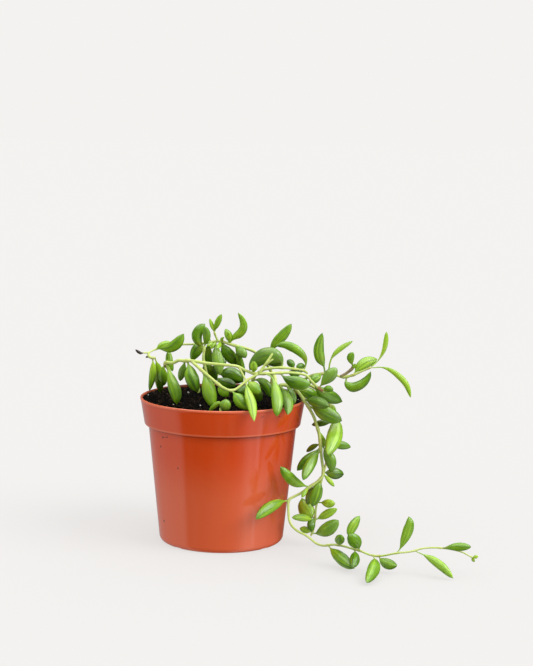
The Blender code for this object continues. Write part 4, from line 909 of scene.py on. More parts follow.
def rear_leaf(draw, line, share, side):
    """A leaf that hangs from a rear stem, leaning to one side and outwards, its tip curved."""
    (start,), _ = along(line, [share])
    outward = Vector((start.x, start.y, 0.0)).normalized()
    sideways = Vector((-outward.y, outward.x, 0.0)) * side
    length = draw.uniform(*REAR_LENGTH)
    direction = sideways * draw.uniform(*REAR_SIDEWAYS) + outward * draw.uniform(*REAR_OUTWARDS)
    direction.z = -draw.uniform(*REAR_DROP)
    direction.normalize()
    bend = Vector((0.0, 0.0, draw.uniform(*REAR_BEND)))
    middle = start + (direction - bend) * length * 0.5
    made = leaf(0, draw.uniform(*REAR_WIDTH))
    return made, smooth_line([start, middle, start + (direction + bend) * length], REAR_CUTS)


def grow_rear_leaves(lines, placed, taken):
    """Leaves along the stems behind the pot, each tried until it is clear and out of sight."""
    draw = random.Random(REAR_SEED)
    for node in REAR_STEMS:
        made = PLANT[node][0]
        line = lines[node, 0]
        for turn in range(REAR_LEAVES):
            for _ in range(REAR_TRIES):
                step = (turn + draw.uniform(*REAR_SHIFT)) / (REAR_LEAVES - 1)
                share = REAR_FIRST_LEAF + (REAR_LAST_LEAF - REAR_FIRST_LEAF) * min(step, 1.0)
                grown, middle = rear_leaf(draw, line, share, draw.choice((-1, 1)))
                grown["root"] = min(STALK_RADIUS, STALK_SHARE * stem_radius(made, share))
                rows = leaf_beads(grown, middle)
                if out_of_sight(rows) and clear_gap(rows, node, middle[0], taken) >= 0:
                    taken.append((node, rows))
                    placed[node].append((grown, middle))
                    break


def lay_out_plant():
    """Every stem's line, then every leaf's line, each clear of all that lies before it."""
    lines = {}
    taken = []
    for node, stems in PLANT.items():
        for index, made in enumerate(stems):
            line = stem_line(made)
            lines[node, index] = line
            radii = [stem_radius(made, place / len(line)) for place in range(len(line))]
            taken.append((node, beads(line, radii)))
    placed = {node: [] for node in PLANT}
    for node, stems in PLANT.items():
        for index, made in enumerate(stems):
            for grown in made["leaves"]:
                root = place_on_stem(made, lines[node, index], grown["places"][0])
                grown["root"] = min(STALK_RADIUS, STALK_SHARE * root["radius"])
                line = clear_line(grown, root, node, taken)
                taken.append((node, leaf_beads(grown, line)))
                placed[node].append((grown, line))
    grow_rear_leaves(lines, placed, taken)
    return lines, placed


def shade(red, green, blue):
    """A colour of the screen, 0 to 255, as the shaders take it."""
    parts = []
    for value in (red, green, blue):
        part = value / 255
        parts.append(part / 12.92 if part <= 0.04045 else ((part + 0.055) / 1.055) ** 2.4)
    return (*parts, 1.0)


def grey(level):
    return (level, level, level, 1.0)


def add(tree, kind, inputs=None, **settings):
    """A node with its settings made and its inputs linked or set."""
    made = tree.nodes.new(kind)
    for name, value in settings.items():
        setattr(made, name, value)
    for name, value in (inputs or {}).items():
        socket = made.inputs[name]
        if isinstance(value, bpy.types.NodeSocket):
            tree.links.new(value, socket)
        else:
            socket.default_value = value
    return made


def result(tree, kind, output, inputs=None, **settings):
    """One output of a new node."""
    return add(tree, kind, inputs, **settings).outputs[output]


def figure(tree, operation, *values):
    """The result of one sum."""
    return result(tree, "ShaderNodeMath", "Value", dict(enumerate(values)), operation=operation)


def vector_figure(tree, operation, *values, output="Vector"):
    inputs = dict(enumerate(values))
    return result(tree, "ShaderNodeVectorMath", output, inputs, operation=operation)


def scaled(tree, vector, share):
    inputs = {0: vector, "Scale": share}
    return result(tree, "ShaderNodeVectorMath", "Vector", inputs, operation="SCALE")


def product(tree, first, *others):
    """Values multiplied, so that each hides what another doesn't show."""
    for value in others:
        first = figure(tree, "MULTIPLY", first, value)
    return first


def varied(tree, value, chance, strength):
    """A value raised or lowered as another goes over or under one half."""
    off = figure(tree, "SUBTRACT", chance, 0.5)
    return figure(tree, "MULTIPLY_ADD", off, strength, value)


def fade(tree, value, low, high, bottom=0.0, top=1.0):
    """A value that goes smoothly from bottom to top as another goes from low to high."""
    return result(tree, "ShaderNodeMapRange", "Result", {
        "Value": value, "From Min": low, "From Max": high, "To Min": bottom, "To Max": top,
    }, interpolation_type="SMOOTHSTEP")


def noise_value(tree, place, scale, detail=2.0, roughness=0.5):
    """Noise over a place. Over an object's place, its scale is in lumps to the metre."""
    inputs = {"Vector": place, "Scale": scale, "Detail": detail, "Roughness": roughness}
    return result(tree, "ShaderNodeTexNoise", "Fac", inputs)


def colour_steps(tree, value, steps):
    """A colour picked along steps of (place, colour)."""
    made = add(tree, "ShaderNodeValToRGB", {"Fac": value})
    band = made.color_ramp
    while len(band.elements) < len(steps):
        band.elements.new(0.5)
    for element, (place, colour) in zip(band.elements, steps):
        element.position = place
        element.color = colour
    return made.outputs["Color"]


def tints(tree, value, steps):
    """A colour picked along steps of (place, tint of the screen)."""
    return colour_steps(tree, value, [(place, shade(*tint)) for place, tint in steps])


def mix(tree, factor, first, second):
    """The first colour, with the second over it as strongly as the factor.

    The node has its sockets for every kind of value, so those for colours go by their number.
    """
    inputs = {0: factor, 6: first, 7: second}
    return result(tree, "ShaderNodeMix", 2, inputs, data_type="RGBA")


def tinted(tree, colour, strength, tint):
    """A colour with a tint of the screen over it."""
    return mix(tree, strength, colour, shade(*tint))


def attribute(tree, name, output="Fac"):
    return result(
        tree, "ShaderNodeAttribute", output, attribute_name=name, attribute_type="GEOMETRY",
    )


def streaks_along(tree, lengthwise, scale, detail, roughness=0.5):
    """Noise drawn out lengthwise, by the place on the ring and a value along the line."""
    shift = result(tree, "ShaderNodeCombineXYZ", "Vector", {"Z": lengthwise})
    place = vector_figure(tree, "ADD", attribute(tree, "ring", "Vector"), shift)
    return noise_value(tree, place, scale, detail, roughness)


def near_spots(tree, place, spots, edge):
    """A value that is 1 in spots of (point, radius), with an uneven edge."""
    nearest = None
    for point, radius in spots:
        away = vector_figure(tree, "DISTANCE", place, point * MM, output="Value")
        share = figure(tree, "DIVIDE", away, radius * MM)
        nearest = figure(tree, "MINIMUM", nearest, share) if nearest else share
    return fade(tree, varied(tree, nearest, edge, MARK_RAGGEDNESS), 1.0, 0.65)


def bump(tree, height, strength, distance, under=None):
    """The skin's direction over a relief of this depth in millimetres, on one under it."""
    inputs = {"Height": height, "Strength": strength, "Distance": distance * MM}
    if under:
        inputs["Normal"] = under
    return result(tree, "ShaderNodeBump", "Normal", inputs)


def new_finish(name, **sockets):
    """A material with plain values on its shader's own sockets."""
    made = bpy.data.materials.new(name)
    made.use_nodes = True
    shader = made.node_tree.nodes["Principled BSDF"]
    for socket, value in sockets.items():
        shader.inputs[socket.replace("_", " ")].default_value = value
    return made, made.node_tree


def lay_on(tree, **values):
    """Links values to the material's shader."""
    shader = tree.nodes["Principled BSDF"]
    for socket, value in values.items():
        tree.links.new(value, shader.inputs[socket.replace("_", " ")])


def object_place(tree):
    return result(tree, "ShaderNodeTexCoord", "Object")


def leaf_skin():
    """Waxy green skin: paler at the stalk, streaked lengthwise, with a darker window line and a
    pale border beside it that is partly painted highlight; darker tips and tones are partly
    painted shade.
    """
    made, tree = new_finish(
        "leaf_skin", Subsurface_Weight=0.2, Subsurface_Scale=1.4 * MM,
        Subsurface_Radius=(0.5, 1.0, 0.15), Specular_IOR_Level=0.65,
    )
    place = object_place(tree)
    along = attribute(tree, "along")
    own_streaks = figure(tree, "MULTIPLY", attribute(tree, "chance"), 40.0)
    lengthwise = figure(tree, "MULTIPLY_ADD", along, 0.3, own_streaks)
    streaks = streaks_along(tree, lengthwise, 2.3, 4.0, 0.6)
    clouds = noise_value(tree, place, 160.0)
    # The tip darkening is partly the leaf's own colour; on leaves that hang towards the soil it
    # is mostly painted shade
    tone = varied(tree, attribute(tree, "tone"), along, attribute(tree, "tip_darkening"))
    tone = varied(tree, tone, streaks, 2.3)
    tone = varied(tree, tone, clouds, 0.7)
    tone = figure(tree, "MULTIPLY_ADD", tone, 0.5, 0.12)
    colour = tints(tree, tone, LEAF_TINTS)
    patches = fade(tree, noise_value(tree, place, 95.0, 3.0), 0.48, 0.68, 0.0, 0.55)
    olive = product(tree, patches, fade(tree, along, 0.75, 0.1))
    colour = tinted(tree, colour, olive, LEAF_OLIVE)
    bloom = product(tree, attribute(tree, "bloom"), fade(tree, clouds, 0.3, 0.7, 0.5))
    colour = tinted(tree, colour, bloom, LEAF_BLOOM)
    facing = attribute(tree, "facing")
    inside = product(
        tree, fade(tree, along, 0.06, 0.2), fade(tree, along, 0.98, 0.86),
        attribute(tree, "window"),
    )
    # The pale border beside the window line is partly the leaf's own colour and partly a painted
    # highlight
    border = product(tree, inside, fade(tree, facing, 0.70, 0.92, 0.0, 0.55))
    colour = tinted(tree, colour, border, WINDOW_BORDER)
    line = product(tree, inside, fade(tree, facing, 0.955, 0.99, 0.0, 0.75))
    colour = tinted(tree, colour, line, WINDOW_LINE)
    colour = tinted(tree, colour, fade(tree, along, 0.17, 0.0, 0.0, 0.8), LEAF_STALK)
    colour = tinted(tree, colour, fade(tree, along, 0.97, 0.995, 0.0, 0.3), LEAF_TIP)
    colour = tinted(tree, colour, attribute(tree, "dried"), DRIED_LEAF)
    cells = bump(tree, noise_value(tree, place, 2600.0, 1.0), 0.25, 0.08)
    lay_on(
        tree, Base_Color=colour, Roughness=fade(tree, streaks, 0.35, 0.65, 0.12, 0.3),
        Normal=bump(tree, streaks, 0.8, 0.6, cells),
    )
    return made


def stem_skin():
    """Pale yellow-green skin with fine streaks, brown rings at the joints and a few scars."""
    made, tree = new_finish(
        "stem_skin", Subsurface_Weight=0.15, Subsurface_Scale=1.0 * MM,
        Subsurface_Radius=(0.6, 1.0, 0.2), Specular_IOR_Level=0.4,
    )
    place = object_place(tree)
    along = attribute(tree, "along")
    streaks = streaks_along(tree, figure(tree, "MULTIPLY", along, 6.0), 3.0, 3.0)
    blotches = noise_value(tree, place, 130.0, 3.0)
    colour = tints(tree, streaks, STEM_TINTS)
    colour = tinted(tree, colour, fade(tree, blotches, 0.55, 0.75, 0.0, 0.4), STEM_GREEN)
    colour = tinted(tree, colour, fade(tree, along, 0.04, 0.0, 0.0, 0.4), STEM_FOOT)
    joint = product(tree, attribute(tree, "joint"), fade(tree, blotches, 0.45, 0.7, 0.0, 0.4))
    colour = tinted(tree, colour, joint, STEM_JOINT)
    scars = [(seen(*scar), radius) for *scar, radius in STEM_SCARS]
    colour = tinted(tree, colour, near_spots(tree, place, scars, blotches), STEM_SCAR)
    colour = tinted(tree, colour, attribute(tree, "brown"), STEM_BROWN)
    lay_on(
        tree, Base_Color=colour, Roughness=fade(tree, streaks, 0.2, 0.8, 0.42, 0.6),
        Normal=bump(tree, streaks, 0.5, 0.25),
    )
    return made


def shaded_and_soiled_inside(tree, place, height, front_to_back):
    """Painted shade with smears of wet peat, on the collar's inner face and the lip's rear half.
    """
    across = vector_figure(tree, "MULTIPLY", place, (1.0, 1.0, 0.0))
    out = vector_figure(tree, "LENGTH", across, output="Value")
    slope = (RIM_RADIUS - COLLAR_FOOT_RADIUS) / COLLAR_HEIGHT
    wall = figure(tree, "MULTIPLY_ADD", height, slope, (RIM_RADIUS - POT_HEIGHT * slope) * MM)
    depth = figure(tree, "SUBTRACT", wall, out)
    over_foot, under_top, on_lip, at_rear = (
        fade(tree, value, start * MM, end * MM) for value, (start, end) in (
            (height, DARK_INSIDE_OVER_FOOT), (height, DARK_INSIDE_UNDER_TOP), (height, DARK_INSIDE_ON_LIP),
            (front_to_back, DARK_INSIDE_AT_REAR),
        )
    )
    inner_face = product(tree, fade(tree, depth, 0.7 * MM, 0.9 * MM), over_foot, under_top)
    lip = product(tree, on_lip, at_rear)
    smear = fade(tree, noise_value(tree, place, 240.0, 4.0), 0.38, 0.6, 0.55, 0.95)
    return product(tree, figure(tree, "MAXIMUM", inner_face, lip), smear)


def terracotta_plastic():
    """Moulded plastic: even orange brown, satin, with faint flow marks, scuffs and dust; a
    painted floor reflection low down, painted light bands at the collar and lip, painted shade
    inside.
    """
    made, tree = new_finish("terracotta_plastic", Specular_IOR_Level=0.5)
    place = object_place(tree)
    parts = add(tree, "ShaderNodeSeparateXYZ", {"Vector": place}).outputs
    height = parts["Z"]
    tall = {"Vector": place, "Scale": (1.0, 1.0, 0.05)}
    flow = noise_value(tree, result(tree, "ShaderNodeMapping", "Vector", tall), 70.0, 3.0)
    clouds = noise_value(tree, place, 26.0, 3.0)
    grain = noise_value(tree, place, 900.0)
    colour = tints(tree, clouds, POT_TINTS)
    colour = tinted(tree, colour, fade(tree, flow, 0.5, 0.75, 0.0, 0.16), POT_FLOW)
    # A painted reflection of the pale floor, strongest low on the body and streaked by the flow
    # marks
    floor_reflection = fade(tree, height, FLOOR_REFLECTION_TOP * MM, FLOOR_REFLECTION_FOOT * MM, -0.15, 0.44)
    colour = tinted(tree, colour, figure(tree, "MULTIPLY_ADD", flow, 0.3, floor_reflection), POT_FLOOR_REFLECTION)
    dusty = fade(tree, clouds, 0.45, 0.7, 0.02, 0.14)
    dust = product(tree, fade(tree, grain, 0.55, 0.75), dusty)
    colour = tinted(tree, colour, dust, POT_DUST)
    # Bands of painted light: a painted reflection of the floor on the collar's lower edge, a
    # painted shadow under it, and a painted highlight along the lip
    for low, high, strength, tint in POT_LIGHT_BANDS:
        rise = fade(tree, height, low * MM, (low + BAND_FADE) * MM)
        fall = fade(tree, height, (high + BAND_FADE) * MM, high * MM, 0.0, strength)
        colour = tinted(tree, colour, product(tree, rise, fall), tint)
    specks = [(on_pot(*speck), radius) for *speck, radius in POT_SPECKS]
    fleck = near_spots(tree, place, specks, noise_value(tree, place, 1400.0))
    colour = tinted(tree, colour, fleck, POT_SPECK)
    # Painted shade with peat smears inside the collar and on the lip's rear half
    shade_and_splash = shaded_and_soiled_inside(tree, place, height, parts["Y"])
    cloudy = fade(tree, clouds, 0.3, 0.7, 0.07, 0.11)
    lay_on(
        tree, Base_Color=tinted(tree, colour, shade_and_splash, POT_INSIDE_SHADE_AND_PEAT),
        Roughness=figure(tree, "MULTIPLY_ADD", flow, 0.05, cloudy),
        Normal=bump(tree, flow, 0.25, 0.5, bump(tree, grain, 0.06, 0.08)),
    )
    return made


def own_tone(tree, pattern, own, shared):
    """A pattern's value, weighed against the chance value that each grain has of its own."""
    shared_part = figure(tree, "MULTIPLY", pattern, shared)
    return figure(tree, "MULTIPLY_ADD", attribute(tree, "grain"), own, shared_part)


def peat():
    """Damp peat: near black, with browner fibres and crumbs."""
    made, tree = new_finish("peat", Specular_IOR_Level=0.06)
    place = object_place(tree)
    coarse = noise_value(tree, place, 420.0, 5.0, 0.65)
    fine = noise_value(tree, place, 2200.0, 3.0, 0.6)
    lay_on(
        tree, Base_Color=tints(tree, own_tone(tree, coarse, 0.5, 0.7), PEAT_TINTS),
        Roughness=fade(tree, fine, 0.3, 0.7, 0.72, 0.95),
        Normal=bump(tree, coarse, 0.9, 0.9, bump(tree, fine, 0.7, 0.3)),
    )
    return made


def perlite():
    """Expanded white mineral grain, pitted, with peat dust in its pits."""
    made, tree = new_finish("perlite", Specular_IOR_Level=0.3, Roughness=0.88)
    pits = noise_value(tree, object_place(tree), 1500.0, 3.0, 0.6)
    lay_on(tree, Base_Color=tints(tree, pits, PERLITE_TINTS), Normal=bump(tree, pits, 0.8, 0.3))
    return made


def bark():
    """Brown bark and root fibre."""
    made, tree = new_finish("bark", Specular_IOR_Level=0.25, Roughness=0.85)
    grain = noise_value(tree, object_place(tree), 900.0, 4.0, 0.6)
    lay_on(
        tree, Base_Color=tints(tree, own_tone(tree, grain, 0.4, 0.6), BARK_TINTS),
        Normal=bump(tree, grain, 0.7, 0.3),
    )
    return made


def floor_paper():
    """Matt white paper of the studio floor, faintly fibred."""
    made, tree = new_finish(
        "floor_paper", Specular_IOR_Level=0.0, Roughness=1.0, Emission_Strength=FLOOR_GLOW,
        Emission_Color=shade(*BACKDROP),
    )
    fibre = noise_value(tree, object_place(tree), 400.0, 4.0)
    darker = [0.99 * part for part in FLOOR_PAPER]
    lay_on(tree, Base_Color=colour_steps(tree, fibre, [
        (0.3, (*darker, 1.0)), (0.7, (*FLOOR_PAPER, 1.0)),
    ]))
    return made


def new_tree(name, sizes):
    """An empty geometry tree whose named inputs start at these sizes."""
    tree = bpy.data.node_groups.new(name, "GeometryNodeTree")
    face = tree.interface
    face.new_socket("Geometry", in_out="INPUT", socket_type="NodeSocketGeometry")
    for size, value in sizes.items():
        kind = "NodeSocketInt" if isinstance(value, int) else "NodeSocketFloat"
        face.new_socket(size, in_out="INPUT", socket_type=kind).default_value = value
    face.new_socket("Geometry", in_out="OUTPUT", socket_type="NodeSocketGeometry")
    return tree, add(tree, "NodeGroupInput").outputs


def named(tree, name, kind="FLOAT"):
    inputs = {"Name": name}
    return result(
        tree, "GeometryNodeInputNamedAttribute", "Attribute", inputs, data_type=kind,
    )


def keep(tree, geometry, name, value, kind="FLOAT", domain="POINT"):
    """The geometry with a value kept on it under a name."""
    inputs = {"Geometry": geometry, "Name": name, "Value": value}
    return result(
        tree, "GeometryNodeStoreNamedAttribute", "Geometry", inputs, data_type=kind,
        domain=domain,
    )


def point_place(tree):
    return result(tree, "GeometryNodeInputPosition", "Position")


def moved(tree, geometry, **inputs):
    """The geometry with its points at a new Position, or at an Offset from where they were."""
    return result(
        tree, "GeometryNodeSetPosition", "Geometry", {"Geometry": geometry, **inputs},
    )


def realized(tree, geometry):
    return result(tree, "GeometryNodeRealizeInstances", "Geometry", {"Geometry": geometry})


def painted(tree, geometry, finish, where=True):
    inputs = {"Geometry": geometry, "Material": finish, "Selection": where}
    return result(tree, "GeometryNodeSetMaterial", "Geometry", inputs)


def push(tree, geometry, share):
    """Moves the skin outwards by a share of its half width."""
    reach = product(tree, share, named(tree, "half_width"))
    normal = result(tree, "GeometryNodeInputNormal", "Normal")
    return moved(tree, geometry, Offset=scaled(tree, normal, reach))


def ring_profile(tree, sides, flatness):
    """A closed ring that keeps its round place on each point, then is flattened."""
    circle = result(tree, "GeometryNodeCurvePrimitiveCircle", "Curve", {
        "Resolution": sides, "Radius": 1.0,
    })
    place = point_place(tree)
    kept = keep(tree, circle, "ring", place, "FLOAT_VECTOR")
    inputs = {"X": 1.0, "Y": flatness, "Z": 1.0}
    squeeze = result(tree, "ShaderNodeCombineXYZ", "Vector", inputs)
    return moved(tree, kept, Position=vector_figure(tree, "MULTIPLY", place, squeeze))


def sweep(tree, curve, profile):
    """A skin round the curve, as wide as its points say, closed where they have no width."""
    tube = result(tree, "GeometryNodeCurveToMesh", "Mesh", {
        "Curve": curve, "Profile Curve": profile, "Scale": named(tree, "half_width"),
    })
    inputs = {"Geometry": tube, "Distance": SEAM_GAP * MM}
    return result(tree, "GeometryNodeMergeByDistance", "Geometry", inputs)


def leafy_stem_tree(leaf_finish, stem_finish):
    """Turns the lines of a stem and its leaves into skins."""
    tree, given = new_tree("leafy_stem", {
        "Leaf Sides": LEAF_SIDES, "Stem Sides": STEM_SIDES, "Leaf Flatness": LEAF_THICKNESS,
        "Groove": GROOVE_DEPTH, "Groove Sharpness": GROOVE_SHARPNESS,
        "Unevenness": UNEVENNESS, "Lumps a Metre": LUMPS_A_METRE,
    })
    curves = result(tree, "GeometryNodeMeshToCurve", "Curve", {"Mesh": given["Geometry"]})
    curves = result(tree, "GeometryNodeSetCurveNormal", "Curve", {
        "Curve": curves, "Normal": named(tree, "across", "FLOAT_VECTOR"),
    }, mode="FREE")
    is_leaf = named(tree, "is_leaf", "BOOLEAN")
    parted = add(tree, "GeometryNodeSeparateGeometry", {
        "Geometry": curves, "Selection": is_leaf,
    }, domain="POINT").outputs
    leaf_ring = ring_profile(tree, given["Leaf Sides"], given["Leaf Flatness"])
    leaves = sweep(tree, parted["Selection"], leaf_ring)
    stems = sweep(tree, parted["Inverted"], ring_profile(tree, given["Stem Sides"], 1.0))
    ring = named(tree, "ring", "FLOAT_VECTOR")
    facing = result(tree, "ShaderNodeSeparateXYZ", "Y", {"Vector": ring})
    leaves = keep(tree, leaves, "facing", facing)
    towards = figure(tree, "MAXIMUM", named(tree, "facing"), 0.0)
    groove = figure(tree, "POWER", towards, given["Groove Sharpness"])
    groove = product(tree, groove, named(tree, "window"), given["Groove"], -1.0)
    leaves = push(tree, leaves, groove)
    joined = add(tree, "GeometryNodeJoinGeometry")
    for skin in (leaves, stems):
        tree.links.new(skin, joined.inputs["Geometry"])
    lumps = noise_value(tree, point_place(tree), given["Lumps a Metre"], 1.0)
    lumps = product(tree, figure(tree, "SUBTRACT", lumps, 0.5), given["Unevenness"])
    uneven = push(tree, joined.outputs["Geometry"], lumps)
    smooth = result(tree, "GeometryNodeSetShadeSmooth", "Geometry", {"Geometry": uneven})
    skins = painted(tree, realized(tree, smooth), stem_finish)
    skins = painted(tree, skins, leaf_finish, is_leaf)
    add(tree, "NodeGroupOutput", {"Geometry": skins})
    return tree


def drawn(tree, low, high, seed):
    """A number drawn between two limits, for each point or grain.

    The node has its sockets for every kind of value, so those for numbers go by their number.
    """
    inputs = {2: low, 3: high, "Seed": seed}
    return result(tree, "FunctionNodeRandomValue", 1, inputs, data_type="FLOAT")


def strewn(tree, given, shape, scale, at_most, look_seed):
    """Copies of a shape strewn over the given surface, each turned and shaded by chance."""
    points = result(tree, "GeometryNodeDistributePointsOnFaces", "Points", {
        "Mesh": given["Geometry"], "Distance Min": given["Spacing"], "Density Max": at_most,
        "Seed": given["Seed"],
    }, distribute_method="POISSON")
    tumble = result(tree, "ShaderNodeCombineXYZ", "Vector", {
        "X": given["Tumble"], "Y": given["Tumble"], "Z": math.tau,
    })
    inputs = {1: tumble, "Seed": given["Seed"]}
    turn = result(tree, "FunctionNodeRandomValue", 0, inputs, data_type="FLOAT_VECTOR")
    copies = result(tree, "GeometryNodeInstanceOnPoints", "Instances", {
        "Points": points, "Instance": shape, "Rotation": turn, "Scale": scale,
    })
    return keep(tree, copies, "grain", drawn(tree, 0.0, 1.0, look_seed), domain="INSTANCE")


def grain_tree(name, finish, faces_level):
    """Strews grains over a surface, each turned, sized and lumped by chance."""
    tree, given = new_tree(name, {
        "Spacing": 1.0 * MM, "Smallest": 0.3 * MM, "Largest": 0.9 * MM, "Flatness": 0.8,
        "Stretch": 1.2, "Tumble": 3.1, "Lumpiness": 0.35, "Seed": 1,
    })
    ball = result(tree, "GeometryNodeMeshIcoSphere", "Mesh", {
        "Radius": 1.0, "Subdivisions": faces_level,
    })
    size = drawn(tree, given["Smallest"], given["Largest"], given["Seed"])
    form = result(tree, "ShaderNodeCombineXYZ", "Vector", {
        "X": given["Stretch"], "Y": 1.0, "Z": given["Flatness"],
    })
    grains = strewn(tree, given, ball, scaled(tree, form, size), GRAINS_AT_MOST, 5)
    grains = keep(tree, grains, "grain_size", size, domain="INSTANCE")
    lumps = result(tree, "ShaderNodeTexNoise", "Color", {
        "Vector": point_place(tree), "Scale": GRAIN_LUMPS_A_METRE, "Detail": 1.0,
    })
    lumps = vector_figure(tree, "SUBTRACT", lumps, (0.5, 0.5, 0.5))
    reach = product(tree, named(tree, "grain_size"), given["Lumpiness"], LUMP_REACH)
    rough = moved(tree, realized(tree, grains), Offset=scaled(tree, lumps, reach))
    add(tree, "NodeGroupOutput", {"Geometry": painted(tree, rough, finish)})
    return tree


def fibre_tree(finish):
    """Strews short bent root fibres over a surface."""
    tree, given = new_tree("root_fibres", {
        "Spacing": 4.0 * MM, "Bend Radius": 3.5 * MM, "Thickness": 0.12 * MM, "Smallest": 0.4,
        "Largest": 1.2, "Tumble": 0.5, "Seed": 3,
    })
    bend = result(tree, "GeometryNodeCurveArc", "Curve", {
        "Resolution": 7, "Radius": given["Bend Radius"], "Sweep Angle": FIBRE_CURL,
    }, mode="RADIUS")
    ring = result(tree, "GeometryNodeCurvePrimitiveCircle", "Curve", {
        "Resolution": 4, "Radius": given["Thickness"],
    })
    fibre = result(tree, "GeometryNodeCurveToMesh", "Mesh", {
        "Curve": bend, "Profile Curve": ring, "Fill Caps": True,
    })
    size = drawn(tree, given["Smallest"], given["Largest"], given["Seed"])
    fibres = strewn(tree, given, fibre, size, FIBRES_AT_MOST, 9)
    add(tree, "NodeGroupOutput", {"Geometry": painted(tree, realized(tree, fibres), finish)})
    return tree


def put(name, data):
    """A new object in the scene."""
    made = bpy.data.objects.new(name, data)
    bpy.context.scene.collection.objects.link(made)
    return made


def mesh_from(name, builder):
    mesh = bpy.data.meshes.new(name)
    builder.to_mesh(mesh)
    builder.free()
    return mesh


def make_plain(made, modifier):
    """Gives an object the plain mesh that its modifier makes, and takes the modifier off."""
    view = bpy.context.evaluated_depsgraph_get()
    plain = bpy.data.meshes.new_from_object(made.evaluated_get(view))
    made.modifiers.remove(modifier)
    before = made.data
    made.data = plain
    bpy.data.meshes.remove(before)
    plain.name = made.name


def grow(name, mesh, tree, sizes=None):
    """The plain piece that a tree makes of a mesh, with the tree's named sizes set first."""
    made = put(name, mesh)
    modifier = made.modifiers.new(tree.name, "NODES")
    modifier.node_group = tree
    sockets = {}
    for item in tree.interface.items_tree:
        if item.in_out == "INPUT":
            sockets[item.name] = item.identifier
    for size, value in (sizes or {}).items():
        modifier[sockets[size]] = value
    make_plain(made, modifier)
    return made


def place_mesh(name, builder, finish):
    """A new object from a bmesh whose sizes are millimetres."""
    bmesh.ops.scale(builder, vec=(MM, MM, MM), verts=builder.verts)
    mesh = mesh_from(name, builder)
    mesh.materials.append(finish)
    return put(name, mesh)


def finish_piece(made, slot, *nodes):
    """Rides a piece on the one body and hides the CAD nodes that it stands for. Its slot is not
    used.
    """
    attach(made, BODY)
    if nodes:
        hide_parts(*nodes)


def turned(profile, steps):
    """A profile of (radius, height) points, from axis to axis, turned round Z."""
    builder = bmesh.new()
    points = [builder.verts.new((radius, 0.0, height)) for radius, height in profile]
    edges = [builder.edges.new(pair) for pair in zip(points, points[1:])]
    bmesh.ops.spin(
        builder, geom=points + edges, cent=(0, 0, 0), axis=(0, 0, 1),
        angle=math.tau, steps=steps, use_merge=True,
    )
    bmesh.ops.remove_doubles(builder, verts=builder.verts, dist=0.0005)
    bmesh.ops.recalc_face_normals(builder, faces=builder.faces)
    return builder


def rounded(corners):
    """A path of (radius, height) through corners of (radius, height, rounding)."""
    path = []
    for index, (radius, height, rounding) in enumerate(corners):
        here = Vector((radius, height))
        if rounding == 0:
            path.append((radius, height))
            continue
        before = Vector(corners[index - 1][:2]) - here
        after = Vector(corners[index + 1][:2]) - here
        start = here + before.normalized() * min(rounding, before.length / 2)
        end = here + after.normalized() * min(rounding, after.length / 2)
        for step in range(CORNER_STEPS + 1):
            t = step / CORNER_STEPS
            point = start * (1 - t) ** 2 + here * 2 * t * (1 - t) + end * t ** 2
            path.append((point.x, point.y))
    return path


def pot_section():
    """The pot's section from the middle of its underside, over the lip, to its floor's middle."""
    step = POT_HEIGHT - COLLAR_HEIGHT
    floor = BASE_RECESS + WALL
    under = rounded([
        (0, 0, 0), (RECESS_INNER, 0, 0.4), (RECESS_INNER + RECESS_SLOPE, BASE_RECESS, 0.3),
        (RECESS_OUTER - RECESS_SLOPE, BASE_RECESS, 0.3), (RECESS_OUTER, 0, 0.3),
        (FOOT_RADIUS, 0, 0),
    ])
    foot = []
    for index in range(1, FOOT_STEPS + 1):
        angle = math.pi / 2 * index / FOOT_STEPS
        foot.append((
            FOOT_RADIUS + (BODY_FOOT_RADIUS - FOOT_RADIUS) * math.sin(angle),
            FOOT_CORNER * (1 - math.cos(angle)),
        ))
    outside = rounded([
        (BODY_FOOT_RADIUS, FOOT_CORNER, 0),
        (BODY_TOP_RADIUS, step - 0.1, 0.35),
        (COLLAR_FOOT_RADIUS - 0.05, step - 0.05, 0.8),
        (RIM_RADIUS - 0.35, POT_HEIGHT - 2.0, 0.5),
        (RIM_RADIUS, POT_HEIGHT - 1.5, 0.4),
        (RIM_RADIUS, POT_HEIGHT, 0.6),
        (RIM_RADIUS - WALL - LIP_SWELL, POT_HEIGHT, 0.6),
        (COLLAR_FOOT_RADIUS - WALL, step + 1.3, 1.0),
        (BODY_TOP_RADIUS - WALL + 0.3, step, 0.8),
        (pot_wall(FOOT_CORNER) - WALL - 0.4, floor, 2.5),
        (0, floor, 0),
    ])
    return under + foot + outside[1:]


def drain_hole(angle):
    """The rod that cuts one drain hole, at an angle round the pot."""
    builder = bmesh.new()
    bmesh.ops.create_cone(
        builder, cap_ends=True, segments=DRAIN_SIDES, radius1=DRAIN_RADIUS * MM,
        radius2=DRAIN_RADIUS * MM, depth=DRAIN_CUT * MM,
    )
    middle = (DRAIN_RING * math.cos(angle) * MM, DRAIN_RING * math.sin(angle) * MM, 0.0)
    bmesh.ops.translate(builder, vec=middle, verts=builder.verts)
    return builder


def foot_notch(angle):
    """The block that cuts one notch under the foot, at an angle round the pot."""
    builder = bmesh.new()
    bmesh.ops.create_cube(builder, size=1.0)
    length = BODY_FOOT_RADIUS - RECESS_OUTER + NOTCH_OVERCUT
    size = (length * MM, NOTCH_WIDTH * MM, 2 * NOTCH_HEIGHT * MM)
    bmesh.ops.scale(builder, vec=size, verts=builder.verts)
    middle = ((RECESS_OUTER + length / 2 - NOTCH_INSET) * MM, 0.0, 0.0)
    bmesh.ops.translate(builder, vec=middle, verts=builder.verts)
    turn = Matrix.Rotation(angle, 4, "Z")
    bmesh.ops.transform(builder, matrix=turn, verts=builder.verts)
    return builder


